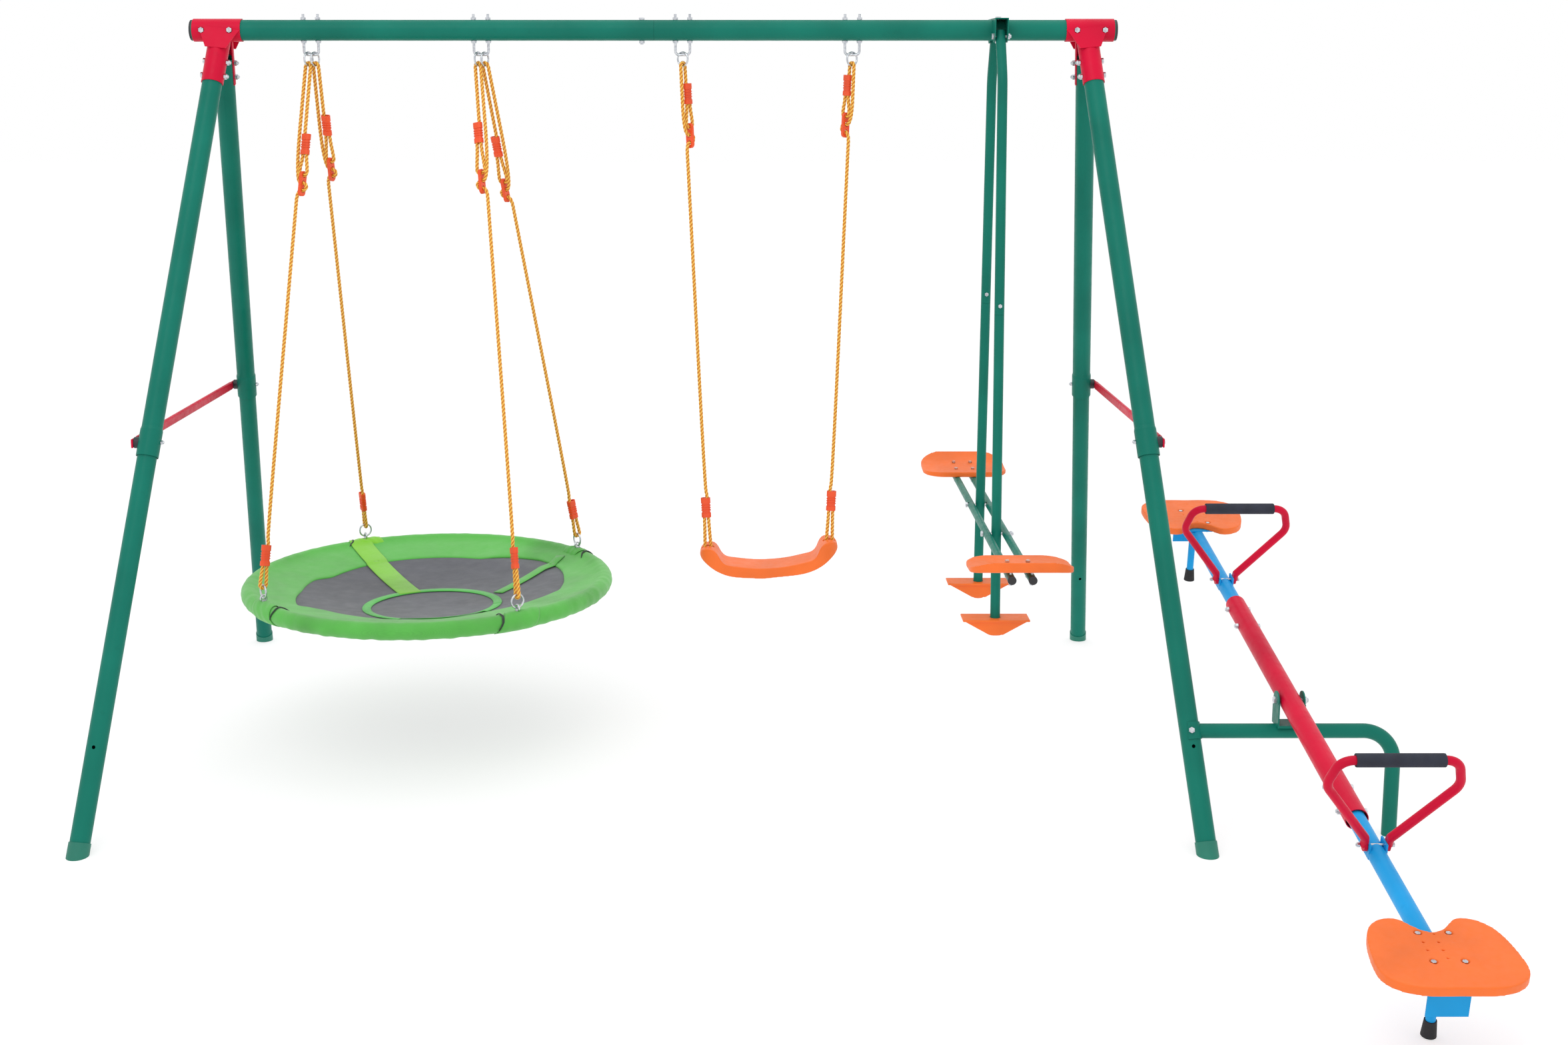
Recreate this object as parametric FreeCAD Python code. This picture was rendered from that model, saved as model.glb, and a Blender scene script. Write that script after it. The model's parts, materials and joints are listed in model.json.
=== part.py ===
import FreeCAD, Part
import math
import os

from FreeCAD import Matrix, Vector

# A garden swing set on two A-frames under one top beam: a round nest swing on four ropes, a belt
# swing on two ropes, a two-seat glider on a pair of rigid hangers, and a small seesaw on a support
# tube outside the right-hand front leg. Millimetres, +Z up, X along the beam, -Y the front.
# All places below are given from the middle of the top beam's ground line; the last step moves
# the set so that the origin is the middle of its footprint.

FOOTPRINT_MID_X = 230.0
FOOTPRINT_MID_Y = -495.0

# Top beam and A-frames
BEAM_Z = 1915.0
BEAM_R = 27.0
TUBE_WALL = 1.5
BEAM_HALF = 1208.0
BEAM_SPIGOT = 90.0
LEG_TOP_X = 1134.0
LEG_SPREAD_X = 184.0
LEG_SPREAD_Y = 877.0
LEG_UPPER_R = 25.5
LEG_FLARE_R = 27.3
LEG_FLARE_LENGTH = 75.0
LEG_LOWER_R = 23.8
LEG_JOINT_Z = 870.0
LEG_START = 78.0
FOOT_HEIGHT = 28.0

# Corner brackets
BRACKET_WALL = 2.5
BRACKET_HALF = 63.0
BRACKET_STEM = 152.0
BRACKET_MID_X = 1142.0
BEAM_BOLT_SPACING = 73.0
LEG_BOLTS_AT = (90.0, 130.0)
BOLT_SEAT_DEPTH = 0.5

# Fasteners
M6 = 3.0
M8 = 4.0
M10 = 5.0
HOLE_CLEARANCE = 0.25

# Braces across each A-frame
BRACE_Z = 903.0
BRACE_HEIGHT = 24.0
BRACE_THICK = 11.0
BRACE_SPACER = 6.0

# Hanger U-bolts
U_BOLTS_NEST = (-900.0, -454.0)
U_BOLTS_BELT = (75.0, 520.0)
U_WIRE_R = 3.5
U_HALF = 19.0
U_BEND = 9.5
U_BOTTOM_Z = 1851.5
U_TOP_Z = 1957.0
RING_WIRE_R = 2.5
RING_R = 17.5
RING_TURN = 25.0
RING_PAIR = 8.5
RING_SLIDE = 2.5
RING_GAP = 0.8

# Nest swing
NEST_X = -630.0
NEST_Z = 425.0
NEST_R = 478.7
NEST_TURN = -8.0
HOOP_R = 13.0
RIM_R = 22.0
RIM_BAND_INNER = 345.0
MAT_R = 352.0
MAT_THICK = 4.0
MAT_SAG = 38.0
EYE_R = 8.0
NEST_RING_Z = 476.0

# Ropes and their fittings
ROPE_R = 5.0
BIGHT = 8.0
SLEEVE_LENGTH = 54.0
SLEEVE_WIDE = 26.0
SLEEVE_DEEP = 16.0
ADJUSTER_LENGTH = 66.0
ADJUSTER_WIDE = 22.0
ADJUSTER_THICK = 8.0
ADJUSTER_PITCH = 20.0
ADJUSTER_HOLE_R = 6.4
ADJUSTER_OUT = 14.0

# Belt swing seat
BELT_X = 303.0
BELT_HALF = 188.0
BELT_DEPTH = 110.0
BELT_BOTTOM_Z = 449.0
BELT_EYE_IN = 22.0
BELT_EYE_Z = 523.0
BELT_TILT = 3.2

# Glider
GLIDER_X = 903.0
GLIDER_BRACKET_HALF = 17.5
GLIDER_BRACKET_WALL = 2.5
GLIDER_BRACKET_REACH = 76.0
TOP_PIVOT_Y = 52.0
TOP_PIVOT_Z = 1898.0
HANGER_BEND_Y = 108.0
HANGER_BEND_Z = 1790.0
LOW_PIVOT_Y = 175.0
LOW_PIVOT_Z = 602.0
HANGER_R = 13.0
HANGER_FOOT_Z = 344.0
HANGER_JOINT_Z = 1181.0
SEAT_BAR_X = 25.2
SEAT_BAR_R = 10.0
SEAT_BAR_HALF = 655.0
GLIDER_SEAT_Y = 603.0
GLIDER_SEAT_WIDE = 250.0
GLIDER_SEAT_DEEP = 190.0
FOOTREST_TOP_Z = 378.0
FOOTREST_HALF = 89.0
FOOTREST_DROP = 42.0
OPEN_PIVOT_CLEARANCE = 4.2

# Seesaw
SEESAW_X = 1528.0
SUPPORT_Y = -755.0
SUPPORT_Z = 260.0
SUPPORT_R = 17.5
SUPPORT_FOOT_X = 1781.0
SUPPORT_BEND = 75.0
FULCRUM_Z = 336.0
EAR_GAP = 29.0
EAR_WALL = 3.0
SEESAW_TILT = 9.9
CENTRE_TUBE_R = 25.0
CENTRE_TUBE_HALF = 525.0
ARM_R = 19.0
ARM_REACH = 1050.0
SEAT_AT = 1026.0
STUB_R = 9.5
BUMPER_AT = 1024.0
BUMPER_Z = -158.2
HANDLE_AT = 647.0
HANDLE_R = 9.5
HANDLE_HEIGHT = 249.0
HANDLE_HALF = 135.0
GRIP_LENGTH = 178.0
GRIP_R = 14.0
HANDLE_LEAN_NEAR = 17.0
HANDLE_LEAN_FAR = -18.0

X = Vector(1, 0, 0)
Y = Vector(0, 1, 0)
Z = Vector(0, 0, 1)


# ---------------------------------------------------------------- general helpers

def rod(start, end, radius):
    """A round bar between two points."""
    return Part.makeCylinder(radius, (end - start).Length, start, end - start)


def tube(start, end, radius, wall=TUBE_WALL):
    """A straight hollow tube between two points."""
    return rod(start, end, radius).cut(rod(start, end, radius - wall))


def box(low, high):
    """A box between two corners."""
    size = high - low
    return Part.makeBox(size.x, size.y, size.z, low)


def hole(middle, axis, radius, reach):
    """The cutter for a bolt hole through a part."""
    way = Vector(axis).normalize()
    return rod(middle - way * reach, middle + way * reach, radius + HOLE_CLEARANCE)


def fuse(shapes):
    """One solid from several that touch."""
    whole = shapes[0].multiFuse(shapes[1:]) if len(shapes) > 1 else shapes[0]
    return whole.removeSplitter()


def group(shapes):
    """Separate solids that share one node."""
    return Part.makeCompound(shapes)


def local_frame(origin, z_axis, x_hint):
    """The matrix that puts a part drawn on local axes at a point, with local Z along z_axis."""
    z_dir = Vector(z_axis).normalize()
    x_dir = (x_hint - z_dir * x_hint.dot(z_dir)).normalize()
    y_dir = z_dir.cross(x_dir)
    return Matrix(x_dir.x, y_dir.x, z_dir.x, origin.x,
                  x_dir.y, y_dir.y, z_dir.y, origin.y,
                  x_dir.z, y_dir.z, z_dir.z, origin.z,
                  0, 0, 0, 1)


def placed(shape, matrix):
    """A copy of a shape moved by a matrix."""
    copy = shape.copy()
    copy.transformShape(matrix, True)
    return copy


def hexagon(across, height, start, axis):
    """A hexagonal prism, for bolt heads and nuts."""
    radius = across / math.sqrt(3)
    corners = [Vector(radius * math.cos(math.radians(60 * i)), radius * math.sin(math.radians(60 * i)), 0)
               for i in range(7)]
    prism = Part.Face(Part.makePolygon(corners)).extrude(Vector(0, 0, height))
    hint = Z if abs(Vector(axis).normalize().dot(Z)) < 0.9 else X
    return placed(prism, local_frame(start, axis, hint))


def bolt_and_nut(head_face, nut_face, radius, domed=False):
    """A hex bolt whose head sits on one face and whose nut sits on the other: two solids."""
    way = (nut_face - head_face).normalize()
    head = hexagon(radius * 3.2, radius * 1.3, head_face - way * radius * 1.3, way)
    tail = radius * 2.4
    shank = rod(head_face - way * radius * 0.5, nut_face + way * tail, radius)
    bolt = fuse([head, shank])
    nut = hexagon(radius * 3.2, radius * 1.6, nut_face, way)
    if domed:
        dome = Part.makeSphere(radius * 1.45, nut_face + way * radius * 1.6)
        nut = fuse([nut, dome])
    bore = rod(nut_face - way, nut_face + way * (tail + 0.2), radius + 0.05)
    return [bolt, nut.cut(bore)]


def ring(middle, normal, radius, wire):
    """A closed round ring of wire."""
    return Part.makeTorus(radius, wire, middle, normal)


def rounded_path(points, radii):
    """Straight runs joined by tangent arcs, one radius for each inner point."""
    edges = []
    last = points[0]
    for i in range(1, len(points) - 1):
        before = (points[i] - points[i - 1]).normalize()
        after = (points[i + 1] - points[i]).normalize()
        turn = before.getAngle(after)
        if turn < 1e-4:
            continue
        cut_back = radii[i - 1] * math.tan(turn / 2)
        arc_start = points[i] - before * cut_back
        arc_end = points[i] + after * cut_back
        inward = (after - before).normalize()
        centre = points[i] + inward * (radii[i - 1] / math.cos(turn / 2))
        arc_mid = centre - inward * radii[i - 1]
        if (arc_start - last).Length > 1e-6:
            edges.append(Part.LineSegment(last, arc_start).toShape())
        edges.append(Part.Arc(arc_start, arc_mid, arc_end).toShape())
        last = arc_end
    edges.append(Part.LineSegment(last, points[-1]).toShape())
    return Part.Wire(edges)


def swept(path, radius):
    """A round bar along a path."""
    start = path.Edges[0].valueAt(path.Edges[0].FirstParameter)
    way = path.Edges[0].tangentAt(path.Edges[0].FirstParameter)
    section = Part.Wire([Part.makeCircle(radius, start, way)])
    return path.makePipeShell([section], True, True)


def bent_tube(points, bend, radius, wall=TUBE_WALL):
    """A hollow tube with the same bend radius at every corner."""
    path = rounded_path(points, [bend] * (len(points) - 2))
    return swept(path, radius).cut(swept(path, radius - wall))


# ---------------------------------------------------------------- top beam

def beam_parts():
    """The two beam tubes, the right one's spigot inside the left, with all their bolt holes."""
    left = tube(Vector(-BEAM_HALF, 0, BEAM_Z), Vector(0, 0, BEAM_Z), BEAM_R)
    right = tube(Vector(0.5, 0, BEAM_Z), Vector(BEAM_HALF, 0, BEAM_Z), BEAM_R)
    spigot_r = BEAM_R - TUBE_WALL - 0.3
    spigot = tube(Vector(-BEAM_SPIGOT, 0, BEAM_Z), Vector(6, 0, BEAM_Z), spigot_r, 1.2)
    collar = tube(Vector(0.5, 0, BEAM_Z), Vector(6, 0, BEAM_Z), BEAM_R, 3.5)
    right = fuse([right, spigot, collar])
    cutters = [hole(Vector(-32, 0, BEAM_Z), Z, M8, 40)]
    for x in U_BOLTS_NEST + U_BOLTS_BELT:
        cutters += [hole(Vector(x + side * U_HALF, 0, BEAM_Z), Z, U_WIRE_R, 40) for side in (-1, 1)]
    for side in (-1, 1):
        for step in (-0.5, 0.5):
            x = side * BRACKET_MID_X + step * BEAM_BOLT_SPACING
            cutters.append(hole(Vector(x, 0, BEAM_Z), Y, M8, 40))
    cutters.append(hole(Vector(GLIDER_X, 0, BEAM_Z), Z, M8, 60))
    cutter = group(cutters)
    return left.cut(cutter), right.cut(cutter)


def beam_end_caps():
    """Plastic plugs that close both ends of the beam."""
    caps = []
    for side in (-1, 1):
        end = Vector(side * BEAM_HALF, 0, BEAM_Z)
        face = rod(end, end + X * (side * 5), BEAM_R)
        plug = rod(end - X * (side * 16), end, BEAM_R - TUBE_WALL - 0.3)
        caps.append(fuse([face, plug]).makeFillet(1.5, [rim_edge(face, end.x + side * 5)]))
    return group(caps)


def rim_edge(shape, x):
    """The round edge of a cap's outer face, found again on the fused cap."""
    return next(e for e in shape.Edges if abs(e.BoundBox.XMin - x) < 0.01 and abs(e.BoundBox.XMax - x) < 0.01)


# ---------------------------------------------------------------- A-frames

def leg_axis(side, front):
    """Top point on the beam's axis, foot point on the ground and the unit way down."""
    top = Vector(side * LEG_TOP_X, 0, BEAM_Z)
    foot = Vector(side * (LEG_TOP_X + LEG_SPREAD_X), front * LEG_SPREAD_Y, 0)
    return top, foot, (foot - top).normalize()


def leg_point(side, front, z):
    """The point of a leg's axis at a height."""
    top, foot, way = leg_axis(side, front)
    return top + way * ((BEAM_Z - z) / -way.z)


def bolt_way(side, front):
    """The way of the bolts through a leg's top: level with the beam and square to the leg."""
    way = leg_axis(side, front)[2]
    return (X - way * X.dot(way)).normalize()


def leg_upper(side, front):
    """The upper leg tube, flared at its lower end to take the lower tube."""
    top, foot, way = leg_axis(side, front)
    joint = leg_point(side, front, LEG_JOINT_Z)
    flare_top = joint - way * LEG_FLARE_LENGTH
    straight = tube(top + way * LEG_START, flare_top, LEG_UPPER_R)
    cone_length = 8.0
    cone = Part.makeCone(LEG_UPPER_R, LEG_FLARE_R, cone_length, flare_top, way)
    inner_r = LEG_UPPER_R - TUBE_WALL
    cone = cone.cut(Part.makeCone(inner_r, LEG_FLARE_R - TUBE_WALL, cone_length, flare_top, way))
    socket = tube(flare_top + way * cone_length, joint, LEG_FLARE_R)
    leg = fuse([straight, cone, socket])
    cutters = [hole(top + way * at, bolt_way(side, front), M8, 40) for at in LEG_BOLTS_AT]
    cutters.append(hole(leg_point(side, front, BRACE_Z), X, M6, 40))
    return leg.cut(group(cutters))


def leg_lower(side, front):
    """The lower leg tube, with the small holes for a ground anchor."""
    way = leg_axis(side, front)[2]
    head = leg_point(side, front, LEG_JOINT_Z) - way * (LEG_FLARE_LENGTH - 6)
    foot = leg_point(side, front, 4.0)
    bore = rod(head - way, foot + way * 41, LEG_LOWER_R - TUBE_WALL)
    leg = rod(head, foot + way * 40, LEG_LOWER_R).cut(bore)
    leg = leg.cut(box(Vector(-2000, -1200, -100), Vector(2000, 1200, 4.0)))
    cutters = [hole(leg_point(side, front, BRACE_Z), X, M6, 40)]
    cutters.append(hole(leg_point(side, front, 236), Y, M8, 40))
    if side > 0 and front < 0:
        anchor, across = support_anchor()
        cutters.append(hole(anchor, across, M8, 40))
    return leg.cut(group(cutters))


def leg_foot(side, front):
    """A plastic cup over a leg's end, cut level where it stands on the ground."""
    way = leg_axis(side, front)[2]
    top = leg_point(side, front, FOOT_HEIGHT)
    low = leg_point(side, front, 0.0) + way * 40
    cup = rod(top, low, LEG_LOWER_R + 2.0)
    below_sole = box(Vector(-2000, -1200, -100), Vector(2000, 1200, 3.9))
    cup = cup.cut(rod(top - way, low, LEG_LOWER_R + 0.05).cut(below_sole))
    return cup.cut(box(Vector(-2000, -1200, -100), Vector(2000, 1200, 0)))


def half_shell(start, way, length, inner, outward, lap):
    """A bent sheet that wraps the outward half of a tube, lapping a little past its middle."""
    end = start + way * length
    shell = rod(start, end, inner + BRACKET_WALL).cut(rod(start - way, end + way, inner))
    size = inner * 4
    keep = placed(box(Vector(-size, -lap, -50), Vector(size, size, length + 50)),
                  local_frame(start, way, way.cross(outward) * -1))
    return shell.common(keep)


def corner_bracket(side):
    """A T-shaped pressed bracket for a front leg: half round the beam, half round the leg's top."""
    top, foot, way = leg_axis(side, -1)
    out = Y * -1
    leg_out = (out - way * out.dot(way)).normalize()
    arms = half_shell(Vector(side * BRACKET_MID_X - BRACKET_HALF, 0, BEAM_Z), X, 2 * BRACKET_HALF,
                      BEAM_R + 0.2, out, -0.3)
    stem = half_shell(top + way * 12, way, BRACKET_STEM - 12, LEG_UPPER_R + 0.2, leg_out, 7.0)
    stem_outer = LEG_UPPER_R + 0.2 + BRACKET_WALL
    outline = [(-56, 6), (56, 6), (44, 26), (stem_outer - 1, 62), (1 - stem_outer, 62), (-44, 26), (-56, 6)]
    corners = [Vector(x, stem_outer - BRACKET_WALL + 0.8, d) for x, d in outline]
    gusset = Part.Face(Part.makePolygon(corners)).extrude(Vector(0, BRACKET_WALL, 0))
    gusset = placed(gusset, local_frame(top, way, way.cross(leg_out) * -1))
    beam_space = rod(Vector(-2000, 0, BEAM_Z), Vector(2000, 0, BEAM_Z), BEAM_R + 0.2)
    behind = box(Vector(-2000, -0.3, 0), Vector(2000, 400, 2200))
    stem = stem.cut(rod(top, top + way * 400, LEG_UPPER_R + 0.2)).cut(behind)
    bracket = fuse([arms, stem.cut(beam_space), gusset.cut(beam_space)])
    cutters = [hole(Vector(side * BRACKET_MID_X + step * BEAM_BOLT_SPACING, 0, BEAM_Z), Y, M8, 60)
               for step in (-0.5, 0.5)]
    cutters += [hole(top + way * at, bolt_way(side, -1), M8, 60) for at in LEG_BOLTS_AT]
    seat_y = -(BEAM_R + 0.2 + BRACKET_WALL - BOLT_SEAT_DEPTH)
    for step in (-0.5, 0.5):
        seat = Vector(side * BRACKET_MID_X + step * BEAM_BOLT_SPACING, seat_y, BEAM_Z)
        cutters.append(rod(seat, seat - Y * 30, 8.6))
    return bracket.cut(group(cutters))


def corner_bolts():
    """Hex bolts through the brackets and the beam, and through the brackets and the legs."""
    bolts = []
    beam_face = BEAM_R + 0.25 + BRACKET_WALL - BOLT_SEAT_DEPTH
    leg_face = LEG_UPPER_R + 0.2 + BRACKET_WALL
    for side in (-1, 1):
        for step in (-0.5, 0.5):
            middle = Vector(side * BRACKET_MID_X + step * BEAM_BOLT_SPACING, 0, BEAM_Z)
            bolts += bolt_and_nut(middle - Y * beam_face, middle + Y * beam_face, M8)
        for front in (-1, 1):
            top, foot, way = leg_axis(side, front)
            across = bolt_way(side, front) * side
            for at in LEG_BOLTS_AT:
                middle = top + way * at
                bolts += bolt_and_nut(middle + across * leg_face, middle - across * leg_face, M8, domed=True)
    return group(bolts)


# ---------------------------------------------------------------- braces

def brace_offset(side):
    """How far outside a leg's axis the brace's middle runs."""
    return side * (LEG_FLARE_R + BRACE_SPACER + BRACE_THICK / 2)


def brace(side):
    """A flattened tube between the front and rear legs, on their outer side."""
    x = leg_point(side, -1, BRACE_Z).x + brace_offset(side)
    reach = abs(leg_point(side, -1, BRACE_Z).y)
    body_half = reach - 30
    half_h = BRACE_HEIGHT / 2
    half_t = BRACE_THICK / 2
    body = oval_bar(x, -body_half, body_half, half_h, half_t)
    body = body.cut(oval_bar(x, -body_half - 1, body_half + 1, half_h - TUBE_WALL, half_t - TUBE_WALL))
    tab_h = half_h - 0.6
    tabs = [oval_bar(x, reach - 34, reach + 16, tab_h, 2.2), oval_bar(x, -reach - 16, 34 - reach, tab_h, 2.2)]
    whole = fuse([body] + tabs)
    return whole.cut(group([hole(Vector(x, s * reach, BRACE_Z), X, M6, 30) for s in (-1, 1)]))


def oval_bar(x, y_low, y_high, half_h, half_t):
    """A bar of rounded oblong section along Y."""
    straight = half_h - half_t
    corners = [Vector(x + sx * half_t, y_low, BRACE_Z + sz * straight)
               for sx, sz in ((-1, -1), (-1, 1), (1, 1), (1, -1))]
    top = Vector(x, y_low, BRACE_Z + half_h)
    bottom = Vector(x, y_low, BRACE_Z - half_h)
    outline = Part.Wire([Part.LineSegment(corners[0], corners[1]).toShape(),
                         Part.Arc(corners[1], top, corners[2]).toShape(),
                         Part.LineSegment(corners[2], corners[3]).toShape(),
                         Part.Arc(corners[3], bottom, corners[0]).toShape()])
    return Part.Face(outline).extrude(Vector(0, y_high - y_low, 0))


def brace_spacers():
    """Plastic blocks between the braces' flat ends and the legs."""
    blocks = []
    for side in (-1, 1):
        for front in (-1, 1):
            at = leg_point(side, front, BRACE_Z)
            inner = at.x
            outer = at.x + brace_offset(side) - side * 2.3
            block = rod(Vector(inner, at.y, BRACE_Z), Vector(outer, at.y, BRACE_Z), 14.0)
            way = leg_axis(side, front)[2]
            block = block.cut(rod(at - way * 60, at + way * 60, LEG_FLARE_R + 0.1))
            block = max(block.Solids, key=lambda solid: solid.Volume)
            blocks.append(block.cut(hole(at, X, M6, 90)))
    return group(blocks)


# ---------------------------------------------------------------- other frame bolts

def frame_bolts():
    """Bolts of the beam joint, the braces, the glider bracket, the seesaw support and its fulcrum."""
    bolts = bolt_and_nut(Vector(-32, 0, BEAM_Z + BEAM_R + 0.2), Vector(-32, 0, BEAM_Z - BEAM_R - 0.2), M8)
    top = glider_bracket_top()
    bolts += bolt_and_nut(Vector(GLIDER_X, 0, top), Vector(GLIDER_X, 0, BEAM_Z - BEAM_R - 0.2), M8)
    for side in (-1, 1):
        for front in (-1, 1):
            at = leg_point(side, front, BRACE_Z)
            outer = at + X * (brace_offset(side) + side * 2.3)
            inner = at - X * (side * (LEG_FLARE_R + 1.4))
            bolts += bolt_and_nut(outer, inner, M6)
    anchor, across = support_anchor()
    strap = LEG_LOWER_R + 0.2 + 2.5
    bolts += bolt_and_nut(anchor - across * (strap + 0.3), anchor + across * (strap + 0.3), M8)
    ear = EAR_GAP + EAR_WALL
    pivot = Vector(SEESAW_X, SUPPORT_Y, FULCRUM_Z)
    bolts += bolt_and_nut(pivot - X * ear, pivot + X * ear, M10)
    return group(bolts)


# ---------------------------------------------------------------- rope hangers

def hanger_u_bolts():
    """U-bolts through the beam, with a nut above it and a flange nut below it on each leg."""
    solids = []
    for x in U_BOLTS_NEST + U_BOLTS_BELT:
        left = x - U_HALF
        right = x + U_HALF
        corners = [Vector(left, 0, U_TOP_Z), Vector(left, 0, U_BOTTOM_Z),
                   Vector(right, 0, U_BOTTOM_Z), Vector(right, 0, U_TOP_Z)]
        solids.append(swept(rounded_path(corners, [U_BEND, U_BEND]), U_WIRE_R))
        for leg_x in (left, right):
            upper = hexagon(12, 6, Vector(leg_x, 0, BEAM_Z + BEAM_R + 0.1), Z)
            lower_start = Vector(leg_x, 0, BEAM_Z - BEAM_R - 0.1)
            flange = rod(lower_start, lower_start - Z * 2, 8.0)
            lower = fuse([hexagon(12, 6, lower_start, Z * -1), flange])
            bore = rod(Vector(leg_x, 0, 1800), Vector(leg_x, 0, 2000), U_WIRE_R + 0.05)
            solids += [upper.cut(bore), lower.cut(bore)]
    return group(solids)


def ring_normal(x):
    """The way that the rings of the U-bolt at x face; the belt swing's rings stand more open."""
    turn = {U_BOLTS_BELT[0]: 2 * RING_TURN, U_BOLTS_BELT[1]: 180 - 2 * RING_TURN}.get(x, 180 - RING_TURN)
    return Vector(math.cos(math.radians(turn)), math.sin(math.radians(turn)), 0)


def top_ring_middle(x, shift):
    """The middle of a ring that hangs in a U-bolt, a little to one side of its lowest point."""
    return Vector(x + shift, 0, U_BOTTOM_Z + U_WIRE_R + RING_WIRE_R + RING_GAP - RING_R)


# ---------------------------------------------------------------- ropes

def rope_route(top, bottom, top_out, bottom_out, sleeve_at, adjuster_at, tail):
    """The points of one rope, from its end in the upper sleeve to its end in the lower one.

    It goes down to a loop through the adjuster's first hole, back up through the sleeve, over the
    top ring, down and through the adjuster's other two holes, then straight to the lower sleeve
    and round the bottom ring or eye. Distances run down from the top ring."""
    down = bottom - top
    length = down.Length
    down = down.normalize()
    out_top = (top_out - down * top_out.dot(down)).normalize()
    out_low = (bottom_out - down * bottom_out.dot(down)).normalize()
    s0 = sleeve_at
    s1 = sleeve_at + SLEEVE_LENGTH
    h1 = adjuster_at + 11
    h2 = h1 + ADJUSTER_PITCH
    h3 = h2 + ADJUSTER_PITCH
    c = ADJUSTER_OUT
    upper = [(s0 + 16, c + 5.2), (s1 + 6, c + 5.2), (h1 - 20, c + 11.6), (h1, c + 12),
             (h1, c - 12), (h1 - 20, c - 11.6), (s1 + 6, c - 5.2), (s0 - 6, c - 5.2),
             (16, BIGHT + 0.3), (-BIGHT, BIGHT), (-BIGHT, -BIGHT), (18, -BIGHT - 0.3),
             (h2, -9.4), (h2, c + 14), (h3, c + 13.6), (h3, c - 14.4)]
    low_sleeve = length - tail
    lower = [(h3 + 60, 0), (low_sleeve - 30, 0), (low_sleeve - 4, -5.2),
             (low_sleeve + SLEEVE_LENGTH + 4, -5.2), (length - 12, -BIGHT), (length + BIGHT, -BIGHT - 0.3),
             (length + BIGHT, BIGHT + 0.3), (length - 12, BIGHT), (low_sleeve + SLEEVE_LENGTH + 4, 5.2),
             (low_sleeve + 16, 5.2)]
    points = [top + down * a + out_top * b for a, b in upper]
    return points + [top + down * a + out_low * b for a, b in lower]


def rope(name, points):
    """A rope's solid: runs joined by arcs as large as the two runs allow."""
    radii = []
    for before, at, after in zip(points, points[1:], points[2:]):
        run = min((at - before).Length, (after - at).Length)
        turn = (at - before).getAngle(after - at)
        radii.append(0.45 * run / math.tan(max(turn, 1e-3) / 2))
    path = rounded_path(points, radii)
    solid = swept(path, ROPE_R)
    expected = math.pi * ROPE_R ** 2 * path.Length
    print("%s: length %.0f, smallest arc %.1f, volume over section %.4f"
          % (name, path.Length, min(radii), solid.Volume / expected))
    return solid


def along(top, bottom, out, distance, offset):
    """Local axes at a distance down a rope: Z down the rope, X the way its loops spread."""
    down = (bottom - top).normalize()
    spread = (out - down * out.dot(down)).normalize()
    return local_frame(top + down * distance + spread * offset, down, spread)


def sleeve(top, bottom, out, distance, offset):
    """A ribbed plastic sleeve that clamps a rope's end beside its standing part."""
    half_wide = SLEEVE_WIDE / 2
    half_deep = SLEEVE_DEEP / 2
    ribs = [oblong(0, 15, half_wide, half_deep),
            oblong(15, SLEEVE_LENGTH - 12, half_wide - 1.8, half_deep - 1.4),
            oblong(SLEEVE_LENGTH - 12, SLEEVE_LENGTH, half_wide, half_deep)]
    ribs += [oblong(z, z + 2.5, half_wide, half_deep) for z in (20, 26.5, 33)]
    body = fuse(ribs)
    bores = [rod(Vector(s * 5.2, 0, -1), Vector(s * 5.2, 0, SLEEVE_LENGTH + 1), ROPE_R + 0.4) for s in (-1, 1)]
    web = box(Vector(-5.2, -3, -1), Vector(5.2, 3, SLEEVE_LENGTH + 1))
    body = body.cut(group(bores)).cut(web)
    return placed(body, along(top, bottom, out, distance, offset))


def oblong(z_low, z_high, half_wide, half_deep):
    """A slot-shaped prism between two heights."""
    run = half_wide - half_deep
    core = box(Vector(-run, -half_deep, z_low), Vector(run, half_deep, z_high))
    ends = [rod(Vector(s * run, 0, z_low), Vector(s * run, 0, z_high), half_deep) for s in (-1, 1)]
    return fuse([core] + ends)


def adjuster(top, bottom, out, distance):
    """A three-hole plastic bar that sets the rope's length."""
    half = ADJUSTER_WIDE / 2
    thick = ADJUSTER_THICK / 2
    core = box(Vector(-thick, -half, half), Vector(thick, half, ADJUSTER_LENGTH - half))
    ends = [rod(Vector(-thick, 0, z), Vector(thick, 0, z), half) for z in (half, ADJUSTER_LENGTH - half)]
    bar = fuse([core] + ends)
    heights = [11 + i * ADJUSTER_PITCH for i in range(3)]
    holes = [rod(Vector(-20, 0, z), Vector(20, 0, z), ADJUSTER_HOLE_R) for z in heights]
    bar = bar.cut(group(holes))
    return placed(bar, along(top, bottom, out, distance, ADJUSTER_OUT))


# ---------------------------------------------------------------- nest swing

# Rope name: (U-bolt, ring's shift along it, bearing of its eye on the hoop, sleeve, adjuster, tail)
NEST_ROPES = {
    "front_left": (U_BOLTS_NEST[0], -RING_PAIR, 225.0, 182.0, 280.0, 104.0),
    "rear_left": (U_BOLTS_NEST[0], RING_PAIR, 130.0, 134.0, 252.0, 104.0),
    "front_right": (U_BOLTS_NEST[1], -RING_PAIR, 315.0, 152.0, 276.0, 120.0),
    "rear_right": (U_BOLTS_NEST[1], RING_PAIR, 45.0, 192.0, 308.0, 104.0),
}


def nest_eye(bearing):
    """Where an eye bolt stands on the hoop, and the way out from the nest's middle."""
    angle = math.radians(bearing + NEST_TURN)
    out = Vector(math.cos(angle), math.sin(angle), 0)
    return Vector(NEST_X, 0, NEST_Z) + out * NEST_R, out


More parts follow.
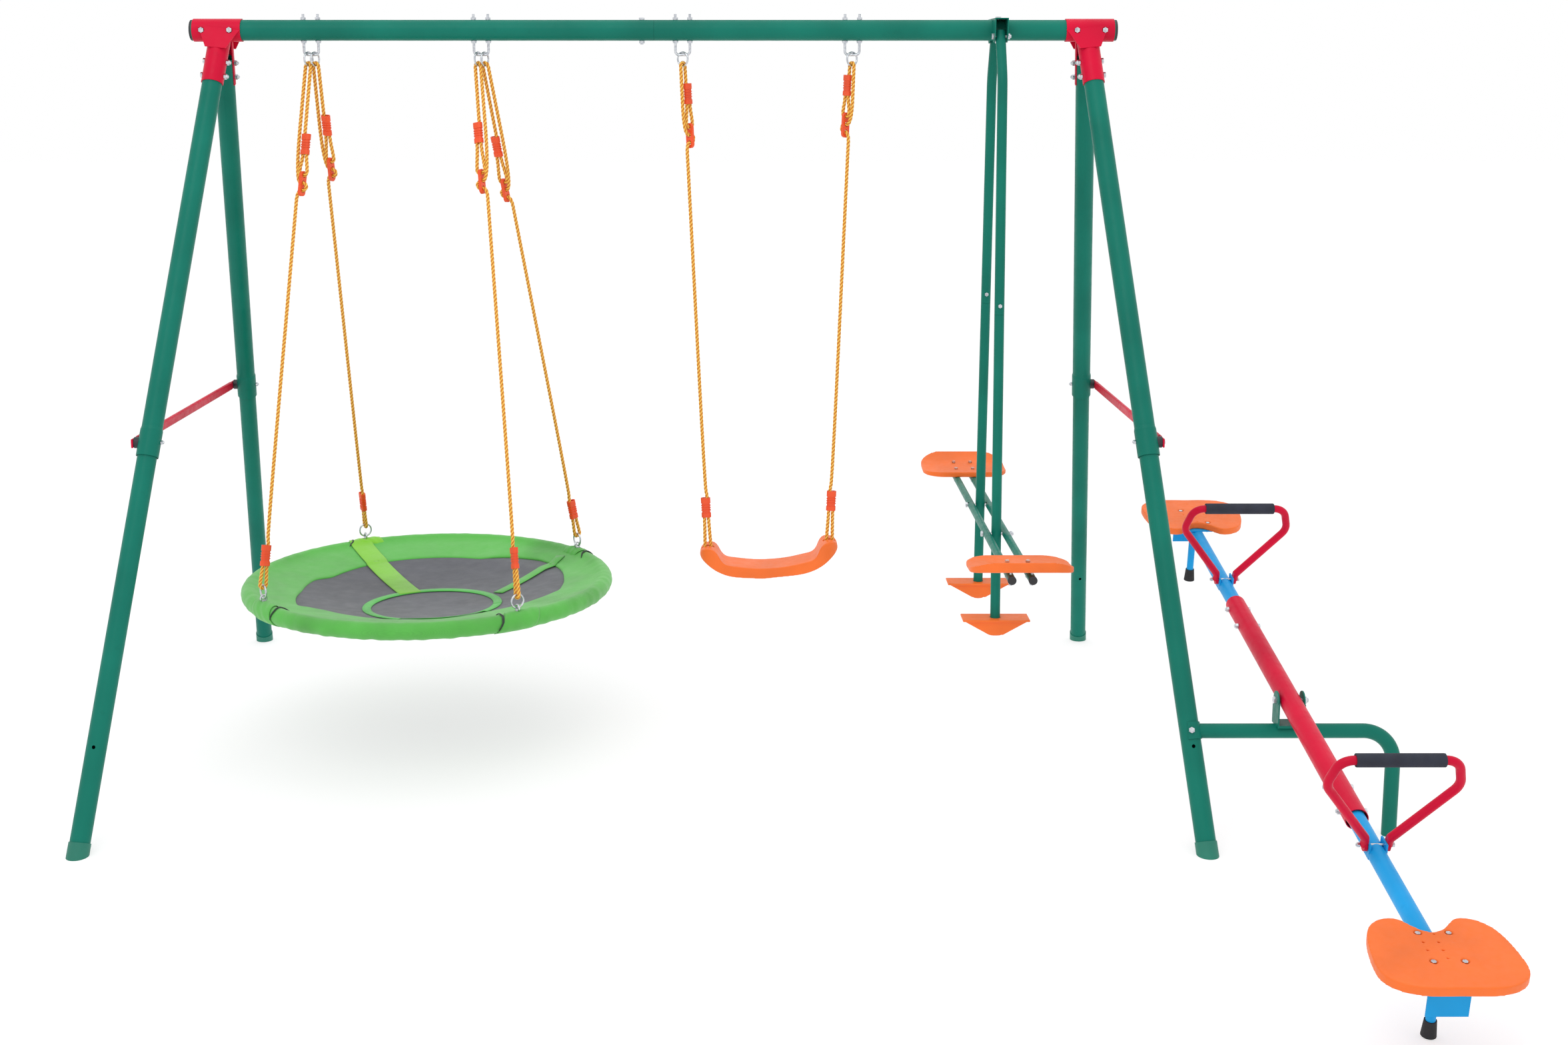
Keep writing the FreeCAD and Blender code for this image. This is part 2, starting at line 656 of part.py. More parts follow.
def nest_rope_ends(name):
    """Top point, bottom point and the two ways that a nest rope's loops spread."""
    x, shift, bearing, sleeve_at, adjuster_at, tail = NEST_ROPES[name]
    top = top_ring_middle(x, shift) - Z * RING_R
    eye, out = nest_eye(bearing)
    lean = -1 if "front" in name else 1
    along_ring = Z.cross(ring_normal(x))
    slide = lean * RING_SLIDE * (1 if along_ring.y > 0 else -1)
    top = top + along_ring * slide + Z * (RING_R - math.sqrt(RING_R ** 2 - slide ** 2))
    bottom = Vector(eye.x, eye.y, NEST_RING_Z + RING_R)
    facing = -1 if x == U_BOLTS_NEST[0] else 1
    return top, bottom, ring_normal(x) * facing, out


def nest_rings():
    """Steel rings: two in each U-bolt and one in each eye of the nest."""
    rings = []
    for x, shift, bearing, sleeve_at, adjuster_at, tail in NEST_ROPES.values():
        rings.append(ring(top_ring_middle(x, shift), ring_normal(x), RING_R, RING_WIRE_R))
        eye, out = nest_eye(bearing)
        rings.append(ring(Vector(eye.x, eye.y, NEST_RING_Z), out, RING_R, RING_WIRE_R))
    return group(rings)


def nest_eye_bolts():
    """Eye bolts that stand on the hoop and hold the lower rings."""
    bolts = []
    for name in NEST_ROPES:
        eye, out = nest_eye(NEST_ROPES[name][2])
        middle = Vector(eye.x, eye.y, NEST_RING_Z - RING_R)
        around = ring(middle, Z.cross(out), EYE_R, 2.5)
        stem = rod(eye - Z * (HOOP_R + 1), middle - Z * (EYE_R + 0.5), 3.5)
        nut = hexagon(11, 4, eye + Z * (RIM_R + 1.2), Z)
        bolts.append(fuse([around, stem, nut]))
    return group(bolts)


def nest_hoop():
    """The round steel hoop inside the rim."""
    hoop = Part.makeTorus(NEST_R, HOOP_R, Vector(NEST_X, 0, NEST_Z), Z)
    hoop = hoop.cut(Part.makeTorus(NEST_R, HOOP_R - TUBE_WALL, Vector(NEST_X, 0, NEST_Z), Z))
    return hoop.cut(eye_holes())


def eye_holes():
    """Cutters for the eye bolts' stems."""
    return group([hole(nest_eye(NEST_ROPES[name][2])[0], Z, 3.5, 60) for name in NEST_ROPES])


def nest_rim_cover():
    """The padded fabric rim: a round sleeve on the hoop with a flat band inward to the mat."""
    pad = Part.makeTorus(NEST_R, RIM_R, Vector(NEST_X, 0, NEST_Z), Z)
    pad = pad.cut(Part.makeTorus(NEST_R, HOOP_R + 0.1, Vector(NEST_X, 0, NEST_Z), Z))
    outer = NEST_R - RIM_R + 4
    outline = [(RIM_BAND_INNER, -14), (outer, 2), (outer, 10), (RIM_BAND_INNER, -6), (RIM_BAND_INNER, -14)]
    corners = [Vector(NEST_X + r, 0, NEST_Z + z) for r, z in outline]
    band = Part.Face(Part.makePolygon(corners)).revolve(Vector(NEST_X, 0, 0), Z, 360)
    return fuse([pad, Part.Solid(band) if band.ShapeType == "Shell" else band]).cut(eye_holes())


def nest_mat():
    """The woven mat, sagging like a shallow bowl."""
    edge_z = NEST_Z - 14.2
    low_z = edge_z - MAT_SAG
    dish_r = (MAT_R ** 2 + MAT_SAG ** 2) / (2 * MAT_SAG)
    centre = Vector(NEST_X, 0, low_z + dish_r)
    shell = Part.makeSphere(dish_r, centre).cut(Part.makeSphere(dish_r - MAT_THICK, centre))
    keep = rod(Vector(NEST_X, 0, low_z - 10), Vector(NEST_X, 0, edge_z), MAT_R)
    return shell.common(keep)


# ---------------------------------------------------------------- belt swing

# Rope name: (U-bolt, side of the seat, sleeve, adjuster, tail)
BELT_ROPES = {
    "left": (U_BOLTS_BELT[0], -1, 46.0, 150.0, 148.0),
    "right": (U_BOLTS_BELT[1], 1, 24.0, 122.0, 148.0),
}


def belt_rope_ends(name):
    """Top point, bottom point and the two ways that a belt rope's loops spread."""
    x, side, sleeve_at, adjuster_at, tail = BELT_ROPES[name]
    top = top_ring_middle(x, 0) - Z * RING_R
    return top, belt_point(side * (BELT_HALF - BELT_EYE_IN), BELT_EYE_Z), ring_normal(x), X * side


def belt_point(x, z):
    """A point of the level seat, x from its middle, moved to where the seat's small tilt puts it."""
    turned = FreeCAD.Rotation(Y, -BELT_TILT).multVec(Vector(x, 0, z - BELT_EYE_Z))
    return turned + Vector(BELT_X, 0, BELT_EYE_Z)


def belt_rings():
    """One steel ring in each U-bolt of the belt swing."""
    return group([ring(top_ring_middle(x, 0), ring_normal(x), RING_R, RING_WIRE_R) for x in U_BOLTS_BELT])


# Height over the seat's underside at distances from its middle: underneath, round the end, on top
BELT_PROFILE = [(0, 0), (60, 3), (117, 13), (150, 30), (176, 50), (188, 66), (184, 82), (168, 88.5),
                (152, 86), (141, 76), (133, 60), (122, 46), (100, 39), (60, 32), (0, 28)]
BELT_POCKET = [(0, 23.5), (45, 25), (90, 30), (118, 34), (118, -9), (-118, -9), (-118, 34), (-90, 30),
               (-45, 25), (0, 23.5)]


def belt_prism(face, half_depth):
    """A face drawn in the XZ plane, drawn out to both sides of it."""
    face.translate(Vector(BELT_X, -half_depth, BELT_BOTTOM_Z))
    return face.extrude(Y * (2 * half_depth))


def belt_seat():
    """The moulded seat: a thick bowed body, hollow below, with bulbous ends that each hold a rope."""
    right = [Vector(x, 0, z) for x, z in BELT_PROFILE]
    left = [Vector(-x, 0, z) for x, z in reversed(BELT_PROFILE[1:-1])]
    curve = Part.BSplineCurve()
    curve.interpolate(right + left, PeriodicFlag=True)
    half = BELT_DEPTH / 2
    seat = belt_prism(Part.Face(Part.Wire([curve.toShape()])), half)
    pocket = Part.makePolygon([Vector(x, 0, z) for x, z in BELT_POCKET])
    seat = seat.cut(belt_prism(Part.Face(pocket), half - 5))
    reach = BELT_HALF + 2
    corner = half - 2
    seat = seat.common(oval_prism(Vector(BELT_X, 0, BELT_BOTTOM_Z - 20), reach, half + 1, corner, 140))
    for side in (-1, 1):
        eye = Vector(BELT_X + side * (BELT_HALF - BELT_EYE_IN), 0, BELT_EYE_Z)
        seat = seat.cut(box(eye - Vector(16.5, 7, 14.5), eye + Vector(16.5, 7, 40)))
        seat = seat.fuse(rod(eye - Y * 8, eye + Y * 8, 2.8))
    seat.rotate(Vector(BELT_X, 0, BELT_EYE_Z), Y, -BELT_TILT)
    return seat


# ---------------------------------------------------------------- glider

def glider_bracket_top():
    """Height of the glider bracket's top face."""
    return BEAM_Z + BEAM_R + 0.3 + GLIDER_BRACKET_WALL


def glider_bracket():
    """A channel over the beam whose side plates carry the hangers' pivots."""
    reach = GLIDER_BRACKET_REACH
    top = glider_bracket_top()
    half = GLIDER_BRACKET_HALF
    wall = GLIDER_BRACKET_WALL
    roof = box(Vector(GLIDER_X - half, -reach, top - wall), Vector(GLIDER_X + half, reach, top))
    plates = []
    for side in (-1, 1):
        x = GLIDER_X + side * half - (wall if side > 0 else 0)
        lobe_r = TOP_PIVOT_Z - (BEAM_Z - BEAM_R - 6)
        plate = box(Vector(x, -reach, TOP_PIVOT_Z), Vector(x + wall, reach, top))
        pivots = [Vector(x, s * TOP_PIVOT_Y, TOP_PIVOT_Z) for s in (-1, 1)]
        lobes = [rod(pivot, pivot + X * wall, lobe_r) for pivot in pivots]
        plates += [plate] + lobes
    whole = fuse([roof] + plates)
    beam_space = rod(Vector(GLIDER_X - 60, 0, BEAM_Z), Vector(GLIDER_X + 60, 0, BEAM_Z), BEAM_R + 0.2)
    below = box(Vector(GLIDER_X - 60, -BEAM_R - 0.2, 1800), Vector(GLIDER_X + 60, BEAM_R + 0.2, BEAM_Z))
    whole = whole.cut(beam_space).cut(below)
    cutters = [hole(Vector(GLIDER_X, s * TOP_PIVOT_Y, TOP_PIVOT_Z), X, M8 - 0.15, 60) for s in (-1, 1)]
    cutters.append(hole(Vector(GLIDER_X, 0, top), Z, M8, 10))
    return whole.cut(group(cutters))


def hanger_path(front):
    """Top pivot, the bend below the bracket, and the way on down through the seat bars."""
    top = Vector(GLIDER_X, front * TOP_PIVOT_Y, TOP_PIVOT_Z)
    bend = Vector(GLIDER_X, front * HANGER_BEND_Y, HANGER_BEND_Z)
    low = Vector(GLIDER_X, front * LOW_PIVOT_Y, LOW_PIVOT_Z)
    return top, bend, low, (low - bend).normalize()


def hanger_at(front, z):
    """The point of a hanger's straight run at a height."""
    top, bend, low, way = hanger_path(front)
    return bend + way * ((HANGER_BEND_Z - z) / -way.z)


def hanger_upper(front):
    """The upper hanger tube, bent where it leaves the bracket."""
    top, bend, low, way = hanger_path(front)
    start = top - (bend - top).normalize() * 13
    body = bent_tube([start, bend, hanger_at(front, HANGER_JOINT_Z)], 130, HANGER_R)
    cutters = [hole(top, X, M8, 40), hole(hanger_at(front, HANGER_JOINT_Z + 24), Y, M6, 40)]
    return body.cut(group(cutters))


def hanger_lower(front):
    """The lower hanger tube, its neck inside the upper one."""
    joint = hanger_at(front, HANGER_JOINT_Z - 0.5)
    neck = hanger_at(front, HANGER_JOINT_Z + 60)
    body = tube(joint, hanger_at(front, HANGER_FOOT_Z), HANGER_R)
    spigot = tube(neck, hanger_at(front, HANGER_JOINT_Z - 6), HANGER_R - TUBE_WALL - 0.2, 1.5)
    collar = tube(joint, hanger_at(front, HANGER_JOINT_Z - 6), HANGER_R, 3.0)
    whole = fuse([body, spigot, collar])
    cutters = [hole(hanger_at(front, LOW_PIVOT_Z), X, M8, 40),
               hole(hanger_at(front, HANGER_JOINT_Z + 24), Y, M6, 40)]
    return whole.cut(group(cutters))


def footrest(front):
    """A moulded footrest: two wings on a boss round the hanger's lower end."""
    at = hanger_at(front, FOOTREST_TOP_Z)
    plate = box(at + Vector(-FOOTREST_HALF, -34, -5), at + Vector(FOOTREST_HALF, 34, 0))
    outline = [Vector(at.x - FOOTREST_HALF + 4, 0, at.z - 5), Vector(at.x + FOOTREST_HALF - 4, 0, at.z - 5),
               Vector(at.x + 19, 0, at.z - FOOTREST_DROP), Vector(at.x - 19, 0, at.z - FOOTREST_DROP)]
    web = Part.Face(Part.makePolygon(outline + outline[:1])).extrude(Vector(0, 52, 0))
    web.translate(Vector(0, at.y - 26, 0))
    hanger = rod(hanger_at(front, 500), hanger_at(front, 250), HANGER_R + 0.1)
    boss = rod(hanger_at(front, FOOTREST_TOP_Z - 4), hanger_at(front, FOOTREST_TOP_Z - FOOTREST_DROP - 5), 18)
    whole = fuse([plate, web, boss])
    floor = rod(hanger_at(front, HANGER_FOOT_Z - 0.2), hanger_at(front, HANGER_FOOT_Z - 12), 18)
    hanger = hanger.cut(floor)
    return whole.cut(hanger)


def hanger_bolts(front):
    """The top pivot bolt, the joint bolt and the lower pivot bolt of one hanger."""
    half = GLIDER_BRACKET_HALF + 0.4
    top = Vector(GLIDER_X, front * TOP_PIVOT_Y, TOP_PIVOT_Z)
    bolts = bolt_and_nut(top - X * half, top + X * half, M8)
    joint = hanger_at(front, HANGER_JOINT_Z + 24)
    bolts += bolt_and_nut(joint - Y * (HANGER_R + 0.4), joint + Y * (HANGER_R + 0.4), M6)
    low = Vector(GLIDER_X, front * LOW_PIVOT_Y, LOW_PIVOT_Z)
    reach = SEAT_BAR_X + SEAT_BAR_R + 0.6
    bolts += bolt_and_nut(low - X * reach, low + X * reach, M8)
    return group(bolts)


def seat_bars():
    """The two bars that carry both glider seats; their rear pivot holes are wider than the bolt."""
    bars = []
    for side in (-1, 1):
        x = GLIDER_X + side * SEAT_BAR_X
        bar = tube(Vector(x, -SEAT_BAR_HALF, LOW_PIVOT_Z), Vector(x, SEAT_BAR_HALF, LOW_PIVOT_Z), SEAT_BAR_R)
        bar = bar.cut(hole(Vector(x, -LOW_PIVOT_Y, LOW_PIVOT_Z), X, M8 - 0.2, 20))
        wide_hole = M8 + OPEN_PIVOT_CLEARANCE - HOLE_CLEARANCE
        bar = bar.cut(hole(Vector(x, LOW_PIVOT_Y, LOW_PIVOT_Z), X, wide_hole, 20))
        for y in glider_seat_bolts():
            bar = bar.cut(hole(Vector(x, y, LOW_PIVOT_Z), Z, M6, 20))
        bars.append(bar)
    return group(bars)


def glider_seat_bolts():
    """Places along the bars of the seat bolts."""
    return [s * (GLIDER_SEAT_Y + step) for s in (-1, 1) for step in (-34, 34)]


def glider_seat(front):
    """A moulded seat: a dished plate whose outer edge turns up, on bosses over the bars."""
    base = LOW_PIVOT_Z + SEAT_BAR_R + 0.2
    half_x = GLIDER_SEAT_WIDE / 2
    half_y = GLIDER_SEAT_DEEP / 2
    upper = [(-half_y, 16), (-50, 13), (0, 15), (45, 22), (half_y, 44)]
    lower = [(half_y, 20), (45, 8), (0, 4), (-50, 2), (-half_y, 0)]
    face_points = [Vector(0, front * (GLIDER_SEAT_Y + y), base + z) for y, z in upper]
    under_points = [Vector(0, front * (GLIDER_SEAT_Y + y), base + z) for y, z in lower]
    top_curve = Part.BSplineCurve()
    top_curve.interpolate(face_points)
    low_curve = Part.BSplineCurve()
    low_curve.interpolate(under_points)
    profile = Part.Wire([top_curve.toShape(), Part.LineSegment(face_points[-1], under_points[0]).toShape(),
                         low_curve.toShape(), Part.LineSegment(under_points[-1], face_points[0]).toShape()])
    slab = Part.Face(profile).extrude(Vector(GLIDER_SEAT_WIDE, 0, 0))
    slab.translate(Vector(GLIDER_X - half_x, 0, 0))
    middle = Vector(GLIDER_X, front * GLIDER_SEAT_Y, base - 20)
    outline = oval_prism(middle, half_x, half_y, 62, 100)
    seat = slab.common(outline)
    cutters = [hole(Vector(GLIDER_X + s * SEAT_BAR_X, front * (GLIDER_SEAT_Y + step), base), Z, M6, 60)
               for s in (-1, 1) for step in (-34, 34)]
    return seat.cut(group(cutters))


def oval_prism(middle, half_x, half_y, corner, height):
    """A rectangle with large round corners, extruded upward."""
    flat_x = half_x - corner
    flat_y = half_y - corner
    long_box = box(middle + Vector(-half_x, -flat_y, 0), middle + Vector(half_x, flat_y, height))
    wide_box = box(middle + Vector(-flat_x, -half_y, 0), middle + Vector(flat_x, half_y, height))
    rounds = [rod(middle + Vector(sx * flat_x, sy * flat_y, 0),
                  middle + Vector(sx * flat_x, sy * flat_y, height), corner)
              for sx in (-1, 1) for sy in (-1, 1)]
    return fuse([long_box, wide_box] + rounds)


def seat_bar_caps():
    """Plastic plugs in the ends of the seat bars."""
    caps = []
    for side in (-1, 1):
        for front in (-1, 1):
            end = Vector(GLIDER_X + side * SEAT_BAR_X, front * SEAT_BAR_HALF, LOW_PIVOT_Z)
            face = rod(end, end + Y * (front * 5), SEAT_BAR_R + 0.6)
            plug = rod(end - Y * (front * 14), end, SEAT_BAR_R - TUBE_WALL - 0.1)
            caps.append(fuse([face, plug]))
    return group(caps)


def glider_seat_bolt_group():
    """Bolts that hold the glider's seats on the bars: heads in the seat, nuts under the bars."""
    bolts = []
    base = LOW_PIVOT_Z + SEAT_BAR_R + 0.2
    for side in (-1, 1):
        for front in (-1, 1):
            for step in (-34, 34):
                x = GLIDER_X + side * SEAT_BAR_X
                y = front * (GLIDER_SEAT_Y + step)
                head_z = base + (14.2 if step < 0 else 21.0)
                bolts += bolt_and_nut(Vector(x, y, head_z), Vector(x, y, LOW_PIVOT_Z - SEAT_BAR_R - 0.3), M6)
    return group(bolts)


# ---------------------------------------------------------------- seesaw

def support_anchor():
    """Where the seesaw's support tube is bolted to the right-hand front leg, and the bolt's way."""
    way = leg_axis(1, -1)[2]
    return leg_point(1, -1, SUPPORT_Z), (Y - way * Y.dot(way)).normalize()


def seesaw_support():
    """The tube that carries the seesaw: a strap round the leg, a level run, a bend and a foot."""
    anchor, across = support_anchor()
    way = leg_axis(1, -1)[2]
    strap_r = LEG_LOWER_R + 0.2
    strap = rod(anchor - way * 20, anchor + way * 20, strap_r + 2.5)
    keep = box(anchor + Vector(-9, -60, -60), anchor + Vector(60, 60, 60))
    strap = strap.common(keep)
    start = Vector(anchor.x + 12, SUPPORT_Y, SUPPORT_Z)
    corner = Vector(SUPPORT_FOOT_X, SUPPORT_Y, SUPPORT_Z)
    foot = Vector(SUPPORT_FOOT_X, SUPPORT_Y, 0)
    pipe_path = rounded_path([start, corner, foot], [SUPPORT_BEND])
    pipe = fuse([swept(pipe_path, SUPPORT_R), strap])
    bore_start = Vector(anchor.x + 34, SUPPORT_Y, SUPPORT_Z)
    inner_path = rounded_path([bore_start, corner, foot - Z * 5], [SUPPORT_BEND])
    leg_space = rod(anchor - way * 100, anchor + way * 100, strap_r)
    pipe = pipe.cut(swept(inner_path, SUPPORT_R - TUBE_WALL)).cut(leg_space)
    return pipe.cut(hole(anchor, across, M8, 60)).removeSplitter()


def fulcrum_bracket():
    """A U-shaped bracket that straddles the support tube and holds the seesaw between its ears."""
    base_z = SUPPORT_Z + SUPPORT_R - 3
    low = Vector(SEESAW_X - EAR_GAP - EAR_WALL, SUPPORT_Y - 26, base_z)
    floor = box(low, Vector(SEESAW_X + EAR_GAP + EAR_WALL, SUPPORT_Y + 26, base_z + 6))
    ears = []
    for side in (-1, 1):
        x = SEESAW_X + side * (EAR_GAP + EAR_WALL / 2)
        middle = Vector(x, SUPPORT_Y, FULCRUM_Z)
        half = X * (EAR_WALL / 2)
        plate = box(Vector(x, SUPPORT_Y - 26, base_z) - half, Vector(x, SUPPORT_Y + 26, FULCRUM_Z - 4) + half)
        round_top = rod(middle - half, middle + half, 22)
        ears += [plate, round_top]
    bracket = fuse([floor] + ears)
    tube_space = rod(Vector(1300, SUPPORT_Y, SUPPORT_Z), Vector(1760, SUPPORT_Y, SUPPORT_Z), SUPPORT_R + 0.1)
    bracket = bracket.cut(tube_space)
    return bracket.cut(hole(Vector(SEESAW_X, SUPPORT_Y, FULCRUM_Z), X, M10, 60))


def seesaw_tilted(shape):
    """A part of the seesaw, drawn level about its pivot, put at its rest tilt."""
    copy = shape.copy()
    copy.rotate(Vector(0, 0, 0), X, SEESAW_TILT)
    copy.translate(Vector(SEESAW_X, SUPPORT_Y, FULCRUM_Z))
    return copy


def seesaw_centre_tube():
    """The middle tube of the seesaw's beam, with the pivot's cross hole and the arms' bolt holes."""
    body = tube(Vector(0, -CENTRE_TUBE_HALF, 0), Vector(0, CENTRE_TUBE_HALF, 0), CENTRE_TUBE_R)
    cutters = [hole(Vector(0, 0, 0), X, M10 - 0.2, 40)]
    cutters += [hole(Vector(0, end * y, 0), X, M8, 40) for end in (-1, 1) for y in arm_bolts()]
    return seesaw_tilted(body.cut(group(cutters)))


def arm_bolts():
    """Distances from the pivot of the bolts that join the arms to the centre tube."""
    return (CENTRE_TUBE_HALF - 130, CENTRE_TUBE_HALF - 32)


def seesaw_arm(end):
    """An arm: a tube with the seat's mounting plate, its turned-down flange and the bumper's stub."""
    body = tube(Vector(0, end * (CENTRE_TUBE_HALF - 165), 0), Vector(0, end * ARM_REACH, 0), ARM_R)
    plate_low = ARM_R - 1
    near_y = SEAT_AT - 62
    far_y = SEAT_AT + 66
    plate = box(Vector(-40, near_y, plate_low), Vector(40, far_y, ARM_R + 2))
    flange = box(Vector(-40, far_y - 3, -66), Vector(40, far_y, ARM_R + 2))
    stub = rod(Vector(0, BUMPER_AT, -ARM_R + 3), Vector(0, BUMPER_AT, BUMPER_Z + 8), STUB_R)
    brackets = [box(Vector(s * 17 - 2, HANDLE_AT - 18, -8), Vector(s * 17 + 2, HANDLE_AT + 18, 26))
                for s in (-1, 1)]
    parts = [plate, flange, stub] + brackets
    if end < 0:
        parts = [part.mirror(Vector(0, 0, 0), Y) for part in parts]
    inside = rod(Vector(0, end * 300, 0), Vector(0, end * 1100, 0), ARM_R - TUBE_WALL)
    whole = fuse([body] + [part.cut(inside) for part in parts])
    cutters = [hole(Vector(0, end * y, 0), X, M8, 40) for y in arm_bolts()]
    cutters += [hole(Vector(sx * 29, end * (SEAT_AT + y), ARM_R), Z, M6, 12)
                for sx in (-1, 1) for y in (-44, 44)]
    cutters.append(hole(Vector(0, end * HANDLE_AT, 16), X, M6, 60))
    return seesaw_tilted(whole.cut(group(cutters)))


def handle_frame(shape, end, lean):
    """A handle part, drawn upright at the pivot's end, leaned toward its seat and moved there."""
    copy = shape.copy()
    copy.rotate(Vector(0, 0, 0), X, -end * lean)
    copy.translate(Vector(0, end * HANDLE_AT, 16))
    return seesaw_tilted(copy)


def seesaw_handle(end, lean):
    """A bent tube handle: two legs that spread upward and join in a level grip bar."""
    reach = HANDLE_HALF
    points = [Vector(-24, 0, 0), Vector(-24, 0, 18), Vector(-reach, 0, HANDLE_HEIGHT - 70),
              Vector(-reach + 18, 0, HANDLE_HEIGHT), Vector(reach - 18, 0, HANDLE_HEIGHT),
              Vector(reach, 0, HANDLE_HEIGHT - 70), Vector(24, 0, 18), Vector(24, 0, 0)]
    path = rounded_path(points, [20, 42, 34, 34, 42, 20])
    solid = swept(path, HANDLE_R)
    eyes = [rod(Vector(s * 20, 0, 0), Vector(s * 27, 0, 0), 13) for s in (-1, 1)]
    clear = box(Vector(-19.3, -40, -40), Vector(19.3, 40, 40))
    whole = fuse([solid] + eyes).cut(clear)
    whole = whole.cut(hole(Vector(0, 0, 0), X, M6, 60))
    return handle_frame(whole, end, lean)


def seesaw_grips():
    """Foam sleeves on the handles' level bars."""
    grips = []
    for end, lean in ((-1, HANDLE_LEAN_NEAR), (1, HANDLE_LEAN_FAR)):
        half = GRIP_LENGTH / 2
        top = Z * HANDLE_HEIGHT
        outer = rod(top - X * half, top + X * half, GRIP_R)
        inner = rod(top - X * (half + 1), top + X * (half + 1), HANDLE_R + 0.1)
        grips.append(handle_frame(outer.cut(inner), end, lean))
    return group(grips)


def seesaw_seat(end):
    """A moulded seat, heart-shaped with its notch toward the pivot, with drain holes."""
    outline = [(0, -46), (28, -60), (60, -90), (104, -76), (128, -32), (138, 32), (132, 86), (96, 116),
               (0, 124)]
    right = [Vector(x, y, 0) for x, y in outline]
    left = [Vector(-x, y, 0) for x, y in reversed(outline[1:-1])]
    curve = Part.BSplineCurve()
    curve.interpolate(right + left, PeriodicFlag=True)
    face = Part.Face(Part.Wire([curve.toShape()]))
    slab = face.extrude(Vector(0, 0, 19))
    inner_points = [Vector(p.x * 0.9, p.y * 0.9 + 1.5, 0) for p in right + left]
    inner_curve = Part.BSplineCurve()
    inner_curve.interpolate(inner_points, PeriodicFlag=True)
    under = Part.Face(Part.Wire([inner_curve.toShape()])).extrude(Vector(0, 0, 9))
    plate_pad = box(Vector(-43, -66, 0), Vector(43, 70, 9))
    slab = slab.cut(under.cut(plate_pad))
    holes = [(0, -39), (-29, -14), (0, -14), (29, -14), (-29, 11), (0, 11), (29, 11), (0, 36)]
    cutters = [hole(Vector(x, y, 0), Z, 2.2, 40) for x, y in holes]
    for sx in (-1, 1):
        for y in (-44, 44):
            cutters.append(hole(Vector(sx * 29, y, 0), Z, M6, 40))
            cutters.append(rod(Vector(sx * 29, y, 14), Vector(sx * 29, y, 30), 8))
    slab = slab.cut(group(cutters))
    if end < 0:
        slab = slab.mirror(Vector(0, 0, 0), Y)
    slab.translate(Vector(0, end * SEAT_AT, ARM_R + 2.1))
    return seesaw_tilted(slab)


def seesaw_bumpers():
    """Rubber feet on the stubs under the seats."""
    feet = []
    for end in (-1, 1):
        cone = Part.makeCone(15, 12, 34, Vector(0, end * BUMPER_AT, BUMPER_Z), Z)
        foot = Vector(0, end * BUMPER_AT, BUMPER_Z)
        bore = rod(foot + Z * 7.9, foot + Z * 60, STUB_R + 0.05)
        feet.append(seesaw_tilted(cone.cut(bore)))
    return group(feet)


def seesaw_bolts():
    """Bolts of the arms, the handles and the seats."""
    bolts = []
    for end in (-1, 1):
        for y in arm_bolts():
            middle = Vector(0, end * y, 0)
            bolts += bolt_and_nut(middle + X * (CENTRE_TUBE_R + 0.4), middle - X * (CENTRE_TUBE_R + 0.4), M8)
        grip_foot = Vector(0, end * HANDLE_AT, 16)
        bolts += bolt_and_nut(grip_foot + X * 33.6, grip_foot - X * 33.6, M6)
        for sx in (-1, 1):
            for y in (-44, 44):
                x = sx * 29
                at = end * (SEAT_AT + y)
                bolts += bolt_and_nut(Vector(x, at, ARM_R + 16.2), Vector(x, at, ARM_R - 1.1), M6)
    return group([seesaw_tilted(bolt) for bolt in bolts])


# ---------------------------------------------------------------- the whole set

